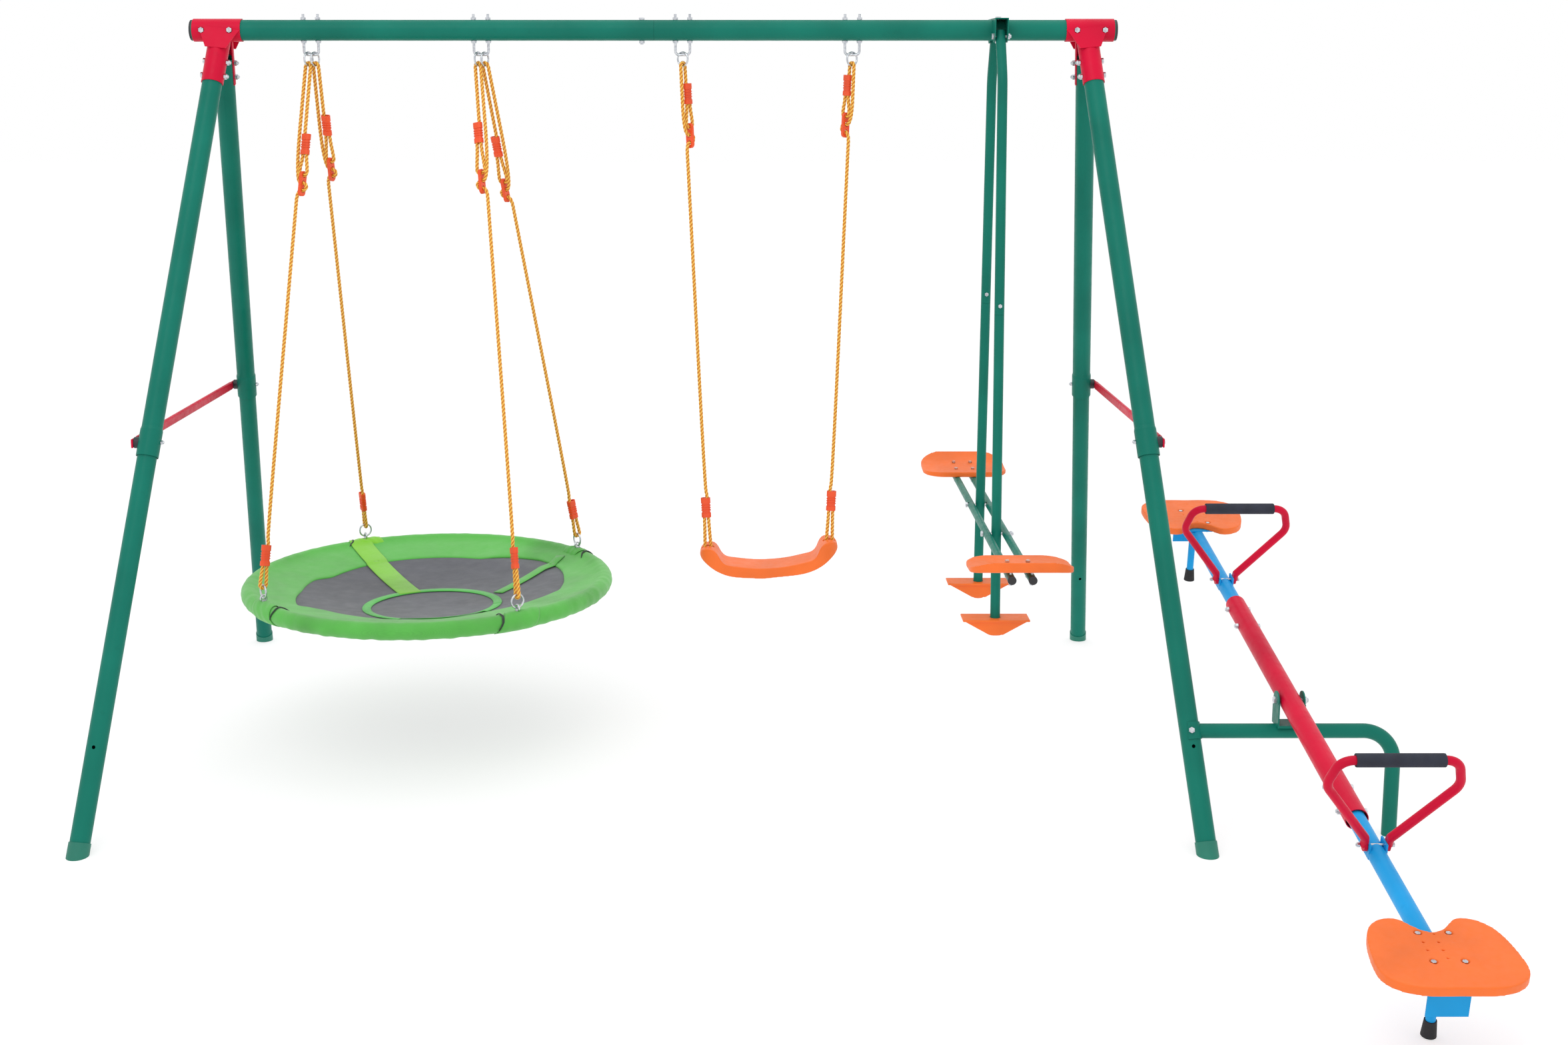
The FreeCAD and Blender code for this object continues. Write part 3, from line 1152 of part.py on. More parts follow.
def build():
    """Every sub-part by its name."""
    parts = {}
    parts["beam_left"], parts["beam_right"] = beam_parts()
    parts["beam_end_caps"] = beam_end_caps()
    for side, side_name in ((-1, "left"), (1, "right")):
        for front, end_name in ((-1, "front"), (1, "rear")):
            name = "%s_%s" % (end_name, side_name)
            bracket = corner_bracket(side)
            parts["corner_bracket_" + name] = bracket if front < 0 else bracket.mirror(Vector(0, 0, 0), Y)
            parts["leg_upper_" + name] = leg_upper(side, front)
            parts["leg_lower_" + name] = leg_lower(side, front)
        parts["brace_" + side_name] = brace(side)
    parts["leg_feet"] = group([leg_foot(side, front) for side in (-1, 1) for front in (-1, 1)])
    parts["corner_bolts"] = corner_bolts()
    parts["brace_spacers"] = brace_spacers()
    parts["frame_bolts"] = frame_bolts()
    parts["hanger_u_bolts"] = hanger_u_bolts()
    parts["glider_bracket"] = glider_bracket()
    parts["seesaw_support"] = seesaw_support()
    parts["fulcrum_bracket"] = fulcrum_bracket()

    parts["nest_rings"] = nest_rings()
    parts["nest_eye_bolts"] = nest_eye_bolts()
    parts["nest_hoop"] = nest_hoop()
    parts["nest_rim_cover"] = nest_rim_cover()
    parts["nest_mat"] = nest_mat()
    sleeves = []
    adjusters = []
    for name in NEST_ROPES:
        sleeve_at, adjuster_at, tail = NEST_ROPES[name][3:]
        top, bottom, out_top, out_low = nest_rope_ends(name)
        route = rope_route(top, bottom, out_top, out_low, sleeve_at, adjuster_at, tail)
        parts["nest_rope_" + name] = rope("nest_rope_" + name, route)
        sleeves.append(sleeve(top, bottom, out_top, sleeve_at, ADJUSTER_OUT))
        sleeves.append(sleeve(top, bottom, out_low, (bottom - top).Length - tail, 0))
        adjusters.append(adjuster(top, bottom, out_top, adjuster_at))
    parts["nest_rope_sleeves"] = group(sleeves)
    parts["nest_rope_adjusters"] = group(adjusters)

    parts["belt_rings"] = belt_rings()
    parts["belt_seat"] = belt_seat()
    fittings = []
    for name in BELT_ROPES:
        sleeve_at, adjuster_at, tail = BELT_ROPES[name][2:]
        top, bottom, out_top, out_low = belt_rope_ends(name)
        route = rope_route(top, bottom, out_top, out_low, sleeve_at, adjuster_at, tail)
        parts["belt_rope_" + name] = rope("belt_rope_" + name, route)
        fittings.append(sleeve(top, bottom, out_top, sleeve_at, ADJUSTER_OUT))
        fittings.append(sleeve(top, bottom, out_low, (bottom - top).Length - tail, 0))
        fittings.append(adjuster(top, bottom, out_top, adjuster_at))
    parts["belt_rope_fittings"] = group(fittings)

    for front, name in ((-1, "front"), (1, "rear")):
        parts["glider_hanger_upper_" + name] = hanger_upper(front)
        parts["glider_hanger_lower_" + name] = hanger_lower(front)
        parts["glider_footrest_" + name] = footrest(front)
        parts["glider_bolts_" + name] = hanger_bolts(front)
    parts["glider_seat_bars"] = seat_bars()
    parts["glider_seats"] = group([glider_seat(-1), glider_seat(1)])
    parts["glider_bar_caps"] = seat_bar_caps()
    parts["glider_seat_bolts"] = glider_seat_bolt_group()

    parts["seesaw_centre_tube"] = seesaw_centre_tube()
    parts["seesaw_arms"] = group([seesaw_arm(-1), seesaw_arm(1)])
    parts["seesaw_handles"] = group([seesaw_handle(-1, HANDLE_LEAN_NEAR), seesaw_handle(1, HANDLE_LEAN_FAR)])
    parts["seesaw_grips"] = seesaw_grips()
    parts["seesaw_seats"] = group([seesaw_seat(-1), seesaw_seat(1)])
    parts["seesaw_bumpers"] = seesaw_bumpers()
    parts["seesaw_bolts"] = seesaw_bolts()
    return parts


def main():
    os.makedirs("parts", exist_ok=True)
    parts = build()
    whole = FreeCAD.BoundBox()
    for name, shape in parts.items():
        shape.translate(Vector(-FOOTPRINT_MID_X, -FOOTPRINT_MID_Y, 0))
        whole.add(shape.BoundBox)
        shape.exportStep("parts/%s.step" % name)
        if not shape.isValid() or not all(solid.isClosed() for solid in shape.Solids):
            print("check", name)
    print("%d nodes, box X %.1f..%.1f Y %.1f..%.1f Z %.1f..%.1f" % (
        len(parts), whole.XMin, whole.XMax, whole.YMin, whole.YMax, whole.ZMin, whole.ZMax))


main()
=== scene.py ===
"""The swing set's looks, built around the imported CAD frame: ropes, nest fabric, seats and finishes."""
import json
import math

import bpy
import numpy as np
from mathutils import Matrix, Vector


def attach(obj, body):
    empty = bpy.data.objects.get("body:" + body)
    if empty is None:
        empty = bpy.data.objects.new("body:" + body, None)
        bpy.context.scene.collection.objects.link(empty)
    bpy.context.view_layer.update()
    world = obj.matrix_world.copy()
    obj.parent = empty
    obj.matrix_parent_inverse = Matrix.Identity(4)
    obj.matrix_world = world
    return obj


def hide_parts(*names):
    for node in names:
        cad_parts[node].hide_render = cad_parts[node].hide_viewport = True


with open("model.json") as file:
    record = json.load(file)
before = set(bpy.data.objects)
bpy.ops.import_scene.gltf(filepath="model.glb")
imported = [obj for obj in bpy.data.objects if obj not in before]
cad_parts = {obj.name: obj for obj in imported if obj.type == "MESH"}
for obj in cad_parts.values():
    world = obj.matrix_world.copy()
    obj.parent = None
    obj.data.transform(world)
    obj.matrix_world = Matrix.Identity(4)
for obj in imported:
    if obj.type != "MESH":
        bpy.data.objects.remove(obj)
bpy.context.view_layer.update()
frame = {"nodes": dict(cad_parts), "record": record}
NODES = frame["nodes"]

# All lengths are in metres and all angles in degrees, unless a line says otherwise.

# The middle of the set's footprint, which is the part's own origin, from the ground below the beam's middle
MID_X = 0.230
MID_Y = -0.495

# Hardware that the ropes pass round, with the same sizes as in the CAD.
# U-bolts: their places along the beam, the height of their lowest wire's middle and the wire's radius
U_BOLTS_NEST = (-0.900, -0.454)
U_BOLTS_BELT = (0.075, 0.520)
U_BOTTOM_Z = 1.8515
U_WIRE_R = 0.0035
# Rings: wire and ring radius, turn about the upright, half the distance of a pair in one U-bolt, how far a
# nest rope has slid along its ring, and the gap between ring and U-bolt
RING_WIRE_R = 0.0025
RING_R = 0.0175
RING_TURN = 25.0
RING_PAIR = 0.0085
RING_SLIDE = 0.0025
RING_GAP = 0.0008
# Nest: its middle, the hoop's radius, the turn of its eyes, their rings' height and the padded rim's radius
NEST_X = -0.630
NEST_Z = 0.425
NEST_R = 0.4787
NEST_TURN = -8.0
NEST_RING_Z = 0.476
RIM_R = 0.022
# Belt seat: its middle, half its length, how far in its rope bars stand, their height and the seat's tilt
BELT_X = 0.303
BELT_HALF = 0.188
BELT_EYE_IN = 0.022
BELT_EYE_Z = 0.523
BELT_TILT = 3.2

# Rope routes, the same as in the CAD. BIGHT is half a loop's width, and IN_SLEEVE is half the distance
# between the two runs of rope in a sleeve.
BIGHT = 0.008
IN_SLEEVE = 0.0052
SLEEVE_LENGTH = 0.054
ADJUSTER_FIRST_HOLE = 0.011
ADJUSTER_PITCH = 0.020
ADJUSTER_OUT = 0.014
# Rope name: (U-bolt, ring's shift along the beam, bearing of its eye, upper sleeve's and adjuster's distance
# down from the top, lower sleeve's distance up from the end, the rope's length)
NEST_ROPES = {
    "front_left": (U_BOLTS_NEST[0], -RING_PAIR, 225.0, 0.182, 0.280, 0.104, 1.951),
    "rear_left": (U_BOLTS_NEST[0], RING_PAIR, 130.0, 0.134, 0.252, 0.104, 1.968),
    "front_right": (U_BOLTS_NEST[1], -RING_PAIR, 315.0, 0.152, 0.276, 0.120, 2.013),
    "rear_right": (U_BOLTS_NEST[1], RING_PAIR, 45.0, 0.192, 0.308, 0.104, 2.007),
}
# Rope name: (U-bolt, side of the seat, and then as above)
BELT_ROPES = {
    "left": (U_BOLTS_BELT[0], -1, 0.046, 0.150, 0.148, 1.817),
    "right": (U_BOLTS_BELT[1], 1, 0.024, 0.122, 0.148, 1.765),
}

# Twist: a strand's radius, its distance from the rope's middle, the length of one full turn, the mesh's steps
# along and round the rope, and the numbers that draw fine fibres on the strands
STRAND_R = 0.00285
STRAND_OFF = 0.00215
LAY = 0.032
ROPE_STEP = 0.0022
ROPE_SIDES = 18
FIBRES_ACROSS = 26
FIBRES_ALONG = 700


# ---------------------------------------------------------------- node helpers

def new_material(name):
    """An empty node material with its output and one Principled shader."""
    mat = bpy.data.materials.new(name)
    mat.use_nodes = True
    tree = mat.node_tree
    tree.nodes.clear()
    out = tree.nodes.new("ShaderNodeOutputMaterial")
    shader = tree.nodes.new("ShaderNodeBsdfPrincipled")
    tree.links.new(shader.outputs["BSDF"], out.inputs["Surface"])
    return mat, tree, shader


def node(tree, kind, **values):
    """A shader node with its sockets set by name."""
    made = tree.nodes.new(kind)
    for key, value in values.items():
        if key in made.inputs:
            made.inputs[key].default_value = value
        else:
            setattr(made, key, value)
    return made


def noise(tree, scale, detail, stretch=None):
    """Noise over object coordinates, stretched along an axis where asked."""
    where = node(tree, "ShaderNodeTexCoord")
    source = where.outputs["Object"]
    if stretch:
        mapping = node(tree, "ShaderNodeMapping")
        mapping.inputs["Scale"].default_value = stretch
        tree.links.new(source, mapping.inputs["Vector"])
        source = mapping.outputs["Vector"]
    made = node(tree, "ShaderNodeTexNoise", Scale=scale, Detail=detail)
    tree.links.new(source, made.inputs["Vector"])
    return made.outputs["Fac"]


def wave(tree, scale, axis):
    """Parallel bands along an axis."""
    where = node(tree, "ShaderNodeTexCoord")
    made = node(tree, "ShaderNodeTexWave", wave_type="BANDS", bands_direction=axis, Scale=scale)
    tree.links.new(where.outputs["Object"], made.inputs["Vector"])
    return made.outputs["Fac"]


def ramp(tree, source, stops):
    """A colour or value ramp over a factor; stops are (place, value or colour)."""
    made = node(tree, "ShaderNodeValToRGB")
    elements = made.color_ramp.elements
    while len(elements) > len(stops):
        elements.remove(elements[-1])
    while len(elements) < len(stops):
        elements.new(0.5)
    for element, (place, value) in zip(elements, stops):
        element.position = place
        colour = value if hasattr(value, "__len__") else (value,) * 3
        element.color = (*colour[:3], 1.0)
    tree.links.new(source, made.inputs["Fac"])
    return made.outputs["Color"]


def mix(tree, factor, first, second, blend="MIX"):
    """Two colours mixed by a factor; each may be a socket or a value."""
    made = node(tree, "ShaderNodeMix", data_type="RGBA", blend_type=blend)
    # A Mix node set to colours has its factor at input 0 and its colours at inputs 6 and 7
    for socket, value in zip((made.inputs[0], made.inputs[6], made.inputs[7]), (factor, first, second)):
        if isinstance(value, bpy.types.NodeSocket):
            tree.links.new(value, socket)
        elif hasattr(value, "__len__"):
            socket.default_value = (*value[:3], 1.0)
        else:
            socket.default_value = value
    return made.outputs[2]


def bump(tree, shader, height, strength, distance):
    """Bump from a height onto the shader, after any bump it already has."""
    made = node(tree, "ShaderNodeBump", Strength=strength, Distance=distance)
    tree.links.new(height, made.inputs["Height"])
    if shader.inputs["Normal"].is_linked:
        tree.links.new(shader.inputs["Normal"].links[0].from_socket, made.inputs["Normal"])
    tree.links.new(made.outputs["Normal"], shader.inputs["Normal"])


def shade(colour, factor):
    """A colour made lighter or darker."""
    return tuple(min(1.0, c * factor) for c in colour)


# ---------------------------------------------------------------- materials

def paint(name, colour):
    """Powder-coated tube: slight colour drift, orange-peel skin and dusty dull patches."""
    mat, tree, shader = new_material(name)
    drift = noise(tree, 5.0, 3.0)
    base = ramp(tree, drift, [(0.3, shade(colour, 0.86)), (0.7, shade(colour, 1.1))])
    dust = ramp(tree, noise(tree, 38.0, 6.0), [(0.62, 0.0), (0.8, 0.22)])
    tint = mix(tree, dust, base, shade(colour, 0.62))
    tree.links.new(tint, shader.inputs["Base Color"])
    dull = ramp(tree, noise(tree, 60.0, 5.0), [(0.3, 0.28), (0.75, 0.48)])
    tree.links.new(dull, shader.inputs["Roughness"])
    shader.inputs["Specular IOR Level"].default_value = 0.13
    bump(tree, shader, noise(tree, 700.0, 2.0), 0.22, 0.0006)
    bump(tree, shader, noise(tree, 26.0, 2.0), 0.12, 0.002)
    return mat


def zinc(name):
    """Bright zinc plate with fine scratches and milky patches."""
    mat, tree, shader = new_material(name)
    base = ramp(tree, noise(tree, 160.0, 5.0), [(0.3, (0.42, 0.44, 0.48)), (0.7, (0.74, 0.76, 0.79))])
    tree.links.new(base, shader.inputs["Base Color"])
    shader.inputs["Metallic"].default_value = 1.0
    dull = ramp(tree, noise(tree, 420.0, 4.0), [(0.3, 0.2), (0.75, 0.42)])
    tree.links.new(dull, shader.inputs["Roughness"])
    bump(tree, shader, noise(tree, 900.0, 3.0), 0.2, 0.0003)
    return mat


def plastic(name, colour, rough):
    """Moulded plastic: even colour, fine grain, faint flow marks and scuffs."""
    mat, tree, shader = new_material(name)
    drift = noise(tree, 9.0, 2.0)
    base = ramp(tree, drift, [(0.3, shade(colour, 0.92)), (0.7, shade(colour, 1.08))])
    scuff = ramp(tree, noise(tree, 90.0, 6.0, stretch=(1.0, 0.25, 1.0)), [(0.66, 0.0), (0.86, 0.25)])
    tree.links.new(mix(tree, scuff, base, shade(colour, 0.8)), shader.inputs["Base Color"])
    dull = ramp(tree, noise(tree, 70.0, 4.0), [(0.3, rough - 0.05), (0.8, rough + 0.12)])
    tree.links.new(dull, shader.inputs["Roughness"])
    shader.inputs["Subsurface Weight"].default_value = 0.04
    shader.inputs["Subsurface Radius"].default_value = (0.004, 0.0015, 0.0008)
    bump(tree, shader, noise(tree, 900.0, 2.0), 0.3, 0.0004)
    return mat


def fabric(name, colour, thread=230.0, wrinkle=0.35):
    """Coated woven cloth: a fine square weave, soft creases and slight fading."""
    mat, tree, shader = new_material(name)
    across = wave(tree, thread, "X")
    along = wave(tree, thread, "Y")
    weave = mix(tree, 0.5, across, along)
    fading = [(0.3, shade(colour, 0.72)), (0.5, colour), (0.75, shade(colour, 1.12))]
    fade = ramp(tree, noise(tree, 4.0, 5.0), fading)
    threads = ramp(tree, weave, [(0.2, 0.9), (0.7, 1.0)])
    tree.links.new(mix(tree, 1.0, fade, threads, "MULTIPLY"), shader.inputs["Base Color"])
    dull = ramp(tree, noise(tree, 30.0, 4.0), [(0.3, 0.55), (0.8, 0.78)])
    tree.links.new(dull, shader.inputs["Roughness"])
    shader.inputs["Sheen Weight"].default_value = 0.25
    shader.inputs["Sheen Roughness"].default_value = 0.5
    bump(tree, shader, weave, 0.35, 0.0006)
    bump(tree, shader, noise(tree, 14.0, 6.0), wrinkle, 0.01)
    return mat


def rope_material(name):
    """Twisted fibre rope: a painted highlight on the crowns, painted shade in the deep orange furrows, and
    fine fibres along the strands.
    """
    mat, tree, shader = new_material(name)
    crown_shading = node(tree, "ShaderNodeAttribute", attribute_name="crown_shading").outputs["Fac"]
    fibre = node(tree, "ShaderNodeAttribute", attribute_name="fibre").outputs["Fac"]
    # Painted light: the crown value shades the strands from deep orange painted shade in the furrows to a
    # pale yellow painted highlight on the crowns.
    strand_shade_and_highlight = ramp(tree, crown_shading, [(0.0, (0.42, 0.09, 0.008)), (0.35, (0.80, 0.25, 0.01)),
                                (0.75, (0.95, 0.43, 0.02)), (1.0, (1.0, 0.66, 0.09))])
    lines = node(tree, "ShaderNodeMath", operation="SINE")
    tree.links.new(fibre, lines.inputs[0])
    fibre_shade = ramp(tree, lines.outputs[0], [(0.1, 0.82), (0.9, 1.0)])
    tree.links.new(mix(tree, 1.0, strand_shade_and_highlight, fibre_shade, "MULTIPLY"), shader.inputs["Base Color"])
    dull = ramp(tree, noise(tree, 300.0, 3.0), [(0.3, 0.38), (0.8, 0.6)])
    tree.links.new(dull, shader.inputs["Roughness"])
    shader.inputs["Sheen Weight"].default_value = 0.3
    shader.inputs["Sheen Roughness"].default_value = 0.4
    bump(tree, shader, lines.outputs[0], 0.25, 0.0003)
    return mat


def foam(name, colour):
    """Closed-cell foam: matte and finely pitted."""
    mat, tree, shader = new_material(name)
    where = node(tree, "ShaderNodeTexCoord")
    cells = node(tree, "ShaderNodeTexVoronoi", Scale=650.0)
    tree.links.new(where.outputs["Object"], cells.inputs["Vector"])
    base = ramp(tree, noise(tree, 40.0, 4.0), [(0.3, shade(colour, 0.8)), (0.7, shade(colour, 1.35))])
    tree.links.new(base, shader.inputs["Base Color"])
    dull = ramp(tree, noise(tree, 80.0, 3.0), [(0.3, 0.72), (0.8, 0.9)])
    tree.links.new(dull, shader.inputs["Roughness"])
    bump(tree, shader, cells.outputs["Distance"], 0.4, 0.0008)
    return mat


MATERIALS = {
    "green_paint": paint("green_paint", (0.005, 0.165, 0.118)),
    "crimson_paint": paint("crimson_paint", (0.60, 0.003, 0.035)),
    "blue_paint": paint("blue_paint", (0.012, 0.33, 0.72)),
    "zinc": zinc("zinc"),
    "black_plastic": plastic("black_plastic", (0.018, 0.02, 0.024), 0.45),
    "green_plastic": plastic("green_plastic", (0.006, 0.17, 0.115), 0.5),
    "orange_plastic": plastic("orange_plastic", (0.84, 0.145, 0.008), 0.45),
    "orange_red_plastic": plastic("orange_red_plastic", (0.80, 0.075, 0.010), 0.42),
    "rope": rope_material("rope"),
    "green_fabric": fabric("green_fabric", (0.085, 0.46, 0.055)),
    "grey_fabric": fabric("grey_fabric", (0.06, 0.063, 0.083), thread=150.0, wrinkle=0.2),
    "foam": foam("foam", (0.017, 0.021, 0.036)),
    "rubber": foam("rubber", (0.014, 0.014, 0.016)),
}
STRAP_MATERIAL = fabric("strap_fabric", (0.22, 0.60, 0.03), thread=260.0)
CIRCLE_MATERIAL = fabric("circle_fabric", (0.065, 0.50, 0.06), thread=260.0)
# The slits' near-black colour is painted shade: the gap at each cuff's end is dark only because it lies in
# shade.
SLIT_SHADE_MATERIAL = fabric("slit_painted_shade", (0.008, 0.03, 0.014), thread=260.0)


# ---------------------------------------------------------------- mesh helpers

def add_mesh(name, points, faces, material, smooth=True):
    """A mesh object from points and faces."""
    mesh = bpy.data.meshes.new(name)
    mesh.from_pydata([tuple(p) for p in points], [], faces)
    mesh.validate()
    mesh.update()
    obj = bpy.data.objects.new(name, mesh)
    bpy.context.scene.collection.objects.link(obj)
    mesh.materials.append(material)
    if smooth:
        mesh.polygons.foreach_set("use_smooth", [True] * len(mesh.polygons))
    return obj


def tube_faces(rings, sides, closed=False):
    """Faces that join rings of points into a tube: capped, or closed from its last ring to its first."""
    faces = []
    for i in range(rings if closed else rings - 1):
        a = i * sides
        b = ((i + 1) % rings) * sides
        faces += [(a + k, a + (k + 1) % sides, b + (k + 1) % sides, b + k) for k in range(sides)]
    if not closed:
        faces.append(tuple(reversed(range(sides))))
        faces.append(tuple((rings - 1) * sides + k for k in range(sides)))
    return faces


def apply_modifier(obj, kind, **settings):
    """A modifier added and applied through the evaluated mesh."""
    modifier = obj.modifiers.new(kind.title(), kind)
    for key, value in settings.items():
        setattr(modifier, key, value)
    bpy.context.view_layer.update()
    evaluated = obj.evaluated_get(bpy.context.evaluated_depsgraph_get())
    mesh = bpy.data.meshes.new_from_object(evaluated)
    obj.modifiers.clear()
    obj.data = mesh


def in_frame(x, y, z):
    """A point measured from the ground below the beam's middle, in the part's frame."""
    return Vector((x - MID_X, y - MID_Y, z))


# ---------------------------------------------------------------- moulded parts and CAD finishes

# CAD node: (body, material, voxel size, rounds of smoothing)
MOULDED = {
    "belt_seat": ("belt_swing", "orange_plastic", 0.0016, 14),
    "glider_seats": ("glider_frame", "orange_plastic", 0.0018, 5),
    "seesaw_seats": ("seesaw", "orange_plastic", 0.0019, 5),
    "glider_footrest_front": ("front_hanger", "orange_plastic", 0.0014, 6),
    "glider_footrest_rear": ("rear_hanger", "orange_plastic", 0.0014, 6),
    "seesaw_grips": ("seesaw", "foam", 0.0012, 6),
}


def soften(cad_name, body, slot, grain, rounds):
    """A moulded part with its edges rounded, in place of its sharp CAD solid; grain is the voxel size."""
    obj = bpy.data.objects.new(cad_name + "_moulded", NODES[cad_name].data.copy())
    obj.matrix_world = NODES[cad_name].matrix_world.copy()
    bpy.context.scene.collection.objects.link(obj)
    apply_modifier(obj, "REMESH", mode="VOXEL", voxel_size=grain)
    apply_modifier(obj, "SMOOTH", factor=0.5, iterations=rounds)
    obj.data.materials.clear()
    obj.data.materials.append(MATERIALS[slot])
    obj.data.polygons.foreach_set("use_smooth", [True] * len(obj.data.polygons))
    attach(obj, body)
    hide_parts(cad_name)


def add_moulded_parts():
    """Seats, footrests and grips with the soft edges of moulded plastic and foam."""
    for cad_name, (body, slot, grain, rounds) in MOULDED.items():
        soften(cad_name, body, slot, grain, rounds)


def finish_cad_nodes():
    """Every CAD node that stays in sight takes its own slot's material."""
    slots = {row["node"]: row["material_slot"] for row in frame["record"]["subparts"]}
    for name, obj in NODES.items():
        obj.data.materials.clear()
        obj.data.materials.append(MATERIALS[slots[name]])


# ---------------------------------------------------------------- ropes

def ring_normal(x):
    """The way that the rings of the U-bolt at x face."""
    turn = {U_BOLTS_BELT[0]: 2 * RING_TURN, U_BOLTS_BELT[1]: 180 - 2 * RING_TURN}.get(x, 180 - RING_TURN)
    return Vector((math.cos(math.radians(turn)), math.sin(math.radians(turn)), 0))


def top_ring_middle(x, shift):
    """The middle of a ring that hangs in a U-bolt."""
    return Vector((x + shift, 0, U_BOTTOM_Z + U_WIRE_R + RING_WIRE_R + RING_GAP - RING_R))


def nest_eye(bearing):
    """Where an eye bolt stands on the hoop, and the way out from the nest's middle."""
    angle = math.radians(bearing + NEST_TURN)
    out = Vector((math.cos(angle), math.sin(angle), 0))
    return Vector((NEST_X, 0, NEST_Z)) + out * NEST_R, out


def nest_rope_ends(name):
    """Top point, bottom point and the two ways that a nest rope's loops spread."""
    x, shift, bearing = NEST_ROPES[name][:3]
    top = top_ring_middle(x, shift) - Vector((0, 0, RING_R))
    eye, out = nest_eye(bearing)
    lean = -1 if "front" in name else 1
    along_ring = Vector((0, 0, 1)).cross(ring_normal(x))
    slide = lean * RING_SLIDE * (1 if along_ring.y > 0 else -1)
    top = top + along_ring * slide + Vector((0, 0, RING_R - math.sqrt(RING_R ** 2 - slide ** 2)))
    facing = -1 if x == U_BOLTS_NEST[0] else 1
    return top, Vector((eye.x, eye.y, NEST_RING_Z + RING_R)), ring_normal(x) * facing, out


def belt_rope_ends(name):
    """Top point, bottom point and the two ways that a belt rope's loops spread."""
    x, side = BELT_ROPES[name][:2]
    top = top_ring_middle(x, 0) - Vector((0, 0, RING_R))
    reach = side * (BELT_HALF - BELT_EYE_IN)
    tilt = math.radians(BELT_TILT)
    bottom = Vector((BELT_X + reach * math.cos(tilt), 0, BELT_EYE_Z + reach * math.sin(tilt)))
    return top, bottom, ring_normal(x), Vector((side, 0, 0))


def rope_route(top, bottom, top_out, bottom_out, sleeve_at, adjuster_at, tail):
    """The points of one rope, from its end in the upper sleeve to its end in the lower one."""
    down = bottom - top
    length = down.length
    down.normalize()
    out_top = (top_out - down * top_out.dot(down)).normalized()
    out_low = (bottom_out - down * bottom_out.dot(down)).normalized()
    sleeve_end = sleeve_at + SLEEVE_LENGTH
    hole_1 = adjuster_at + ADJUSTER_FIRST_HOLE
    hole_2 = hole_1 + ADJUSTER_PITCH
    hole_3 = hole_2 + ADJUSTER_PITCH
    middle = ADJUSTER_OUT
    # Pairs of (distance down, distance out), from the upper sleeve through the adjuster's first hole and back
    upper = [(sleeve_at + 0.016, middle + IN_SLEEVE), (sleeve_end + 0.006, middle + IN_SLEEVE),
             (hole_1 - 0.020, middle + 0.0116), (hole_1, middle + 0.012),
             (hole_1, middle - 0.012), (hole_1 - 0.020, middle - 0.0116),
             (sleeve_end + 0.006, middle - IN_SLEEVE), (sleeve_at - 0.006, middle - IN_SLEEVE)]
    # Over the top ring
    upper += [(0.016, BIGHT + 0.0003), (-BIGHT, BIGHT), (-BIGHT, -BIGHT), (0.018, -BIGHT - 0.0003)]
    # Down, out through the second hole and back through the third
    upper += [(hole_2, -0.0094), (hole_2, middle + 0.014),
              (hole_3, middle + 0.0136), (hole_3, middle - 0.0144)]
    # Down through the lower sleeve, round the lower ring or bar and back into the sleeve
    low_sleeve = length - tail
    low_end = low_sleeve + SLEEVE_LENGTH + 0.004
    lower = [(hole_3 + 0.060, 0), (low_sleeve - 0.030, 0),
             (low_sleeve - 0.004, -IN_SLEEVE), (low_end, -IN_SLEEVE),
             (length - 0.012, -BIGHT), (length + BIGHT, -BIGHT - 0.0003),
             (length + BIGHT, BIGHT + 0.0003), (length - 0.012, BIGHT),
             (low_end, IN_SLEEVE), (low_sleeve + 0.016, IN_SLEEVE)]
    points = [top + down * a + out_top * b for a, b in upper]
    points += [top + down * a + out_low * b for a, b in lower]
    return [in_frame(*p) for p in points]


def spline_points(points):
    """Even points on the smooth line that the route's points control, and their distances along it."""
    curve = bpy.data.curves.new("route", "CURVE")
    curve.dimensions = "3D"
    curve.resolution_u = 24
    spline = curve.splines.new("NURBS")
    spline.points.add(len(points) - 1)
    for control, point in zip(spline.points, points):
        control.co = (*point, 1.0)
    spline.order_u = 3
    spline.use_endpoint_u = True
    obj = bpy.data.objects.new("route", curve)
    bpy.context.scene.collection.objects.link(obj)
    bpy.context.view_layer.update()
    mesh = bpy.data.meshes.new_from_object(obj)
    line = np.array([v.co for v in mesh.vertices], float).reshape(-1, 3)
    bpy.data.objects.remove(obj)
    steps = np.linalg.norm(np.diff(line, axis=0), axis=1)
    # Points that fall together are dropped
    line = line[np.r_[True, steps > 1e-7]]
    along = np.r_[0, np.cumsum(np.linalg.norm(np.diff(line, axis=0), axis=1))]
    count = int(round(along[-1] / ROPE_STEP)) + 1
    wanted = np.linspace(0, along[-1], count)
    return np.stack([np.interp(wanted, along, line[:, k]) for k in range(3)], axis=1), wanted


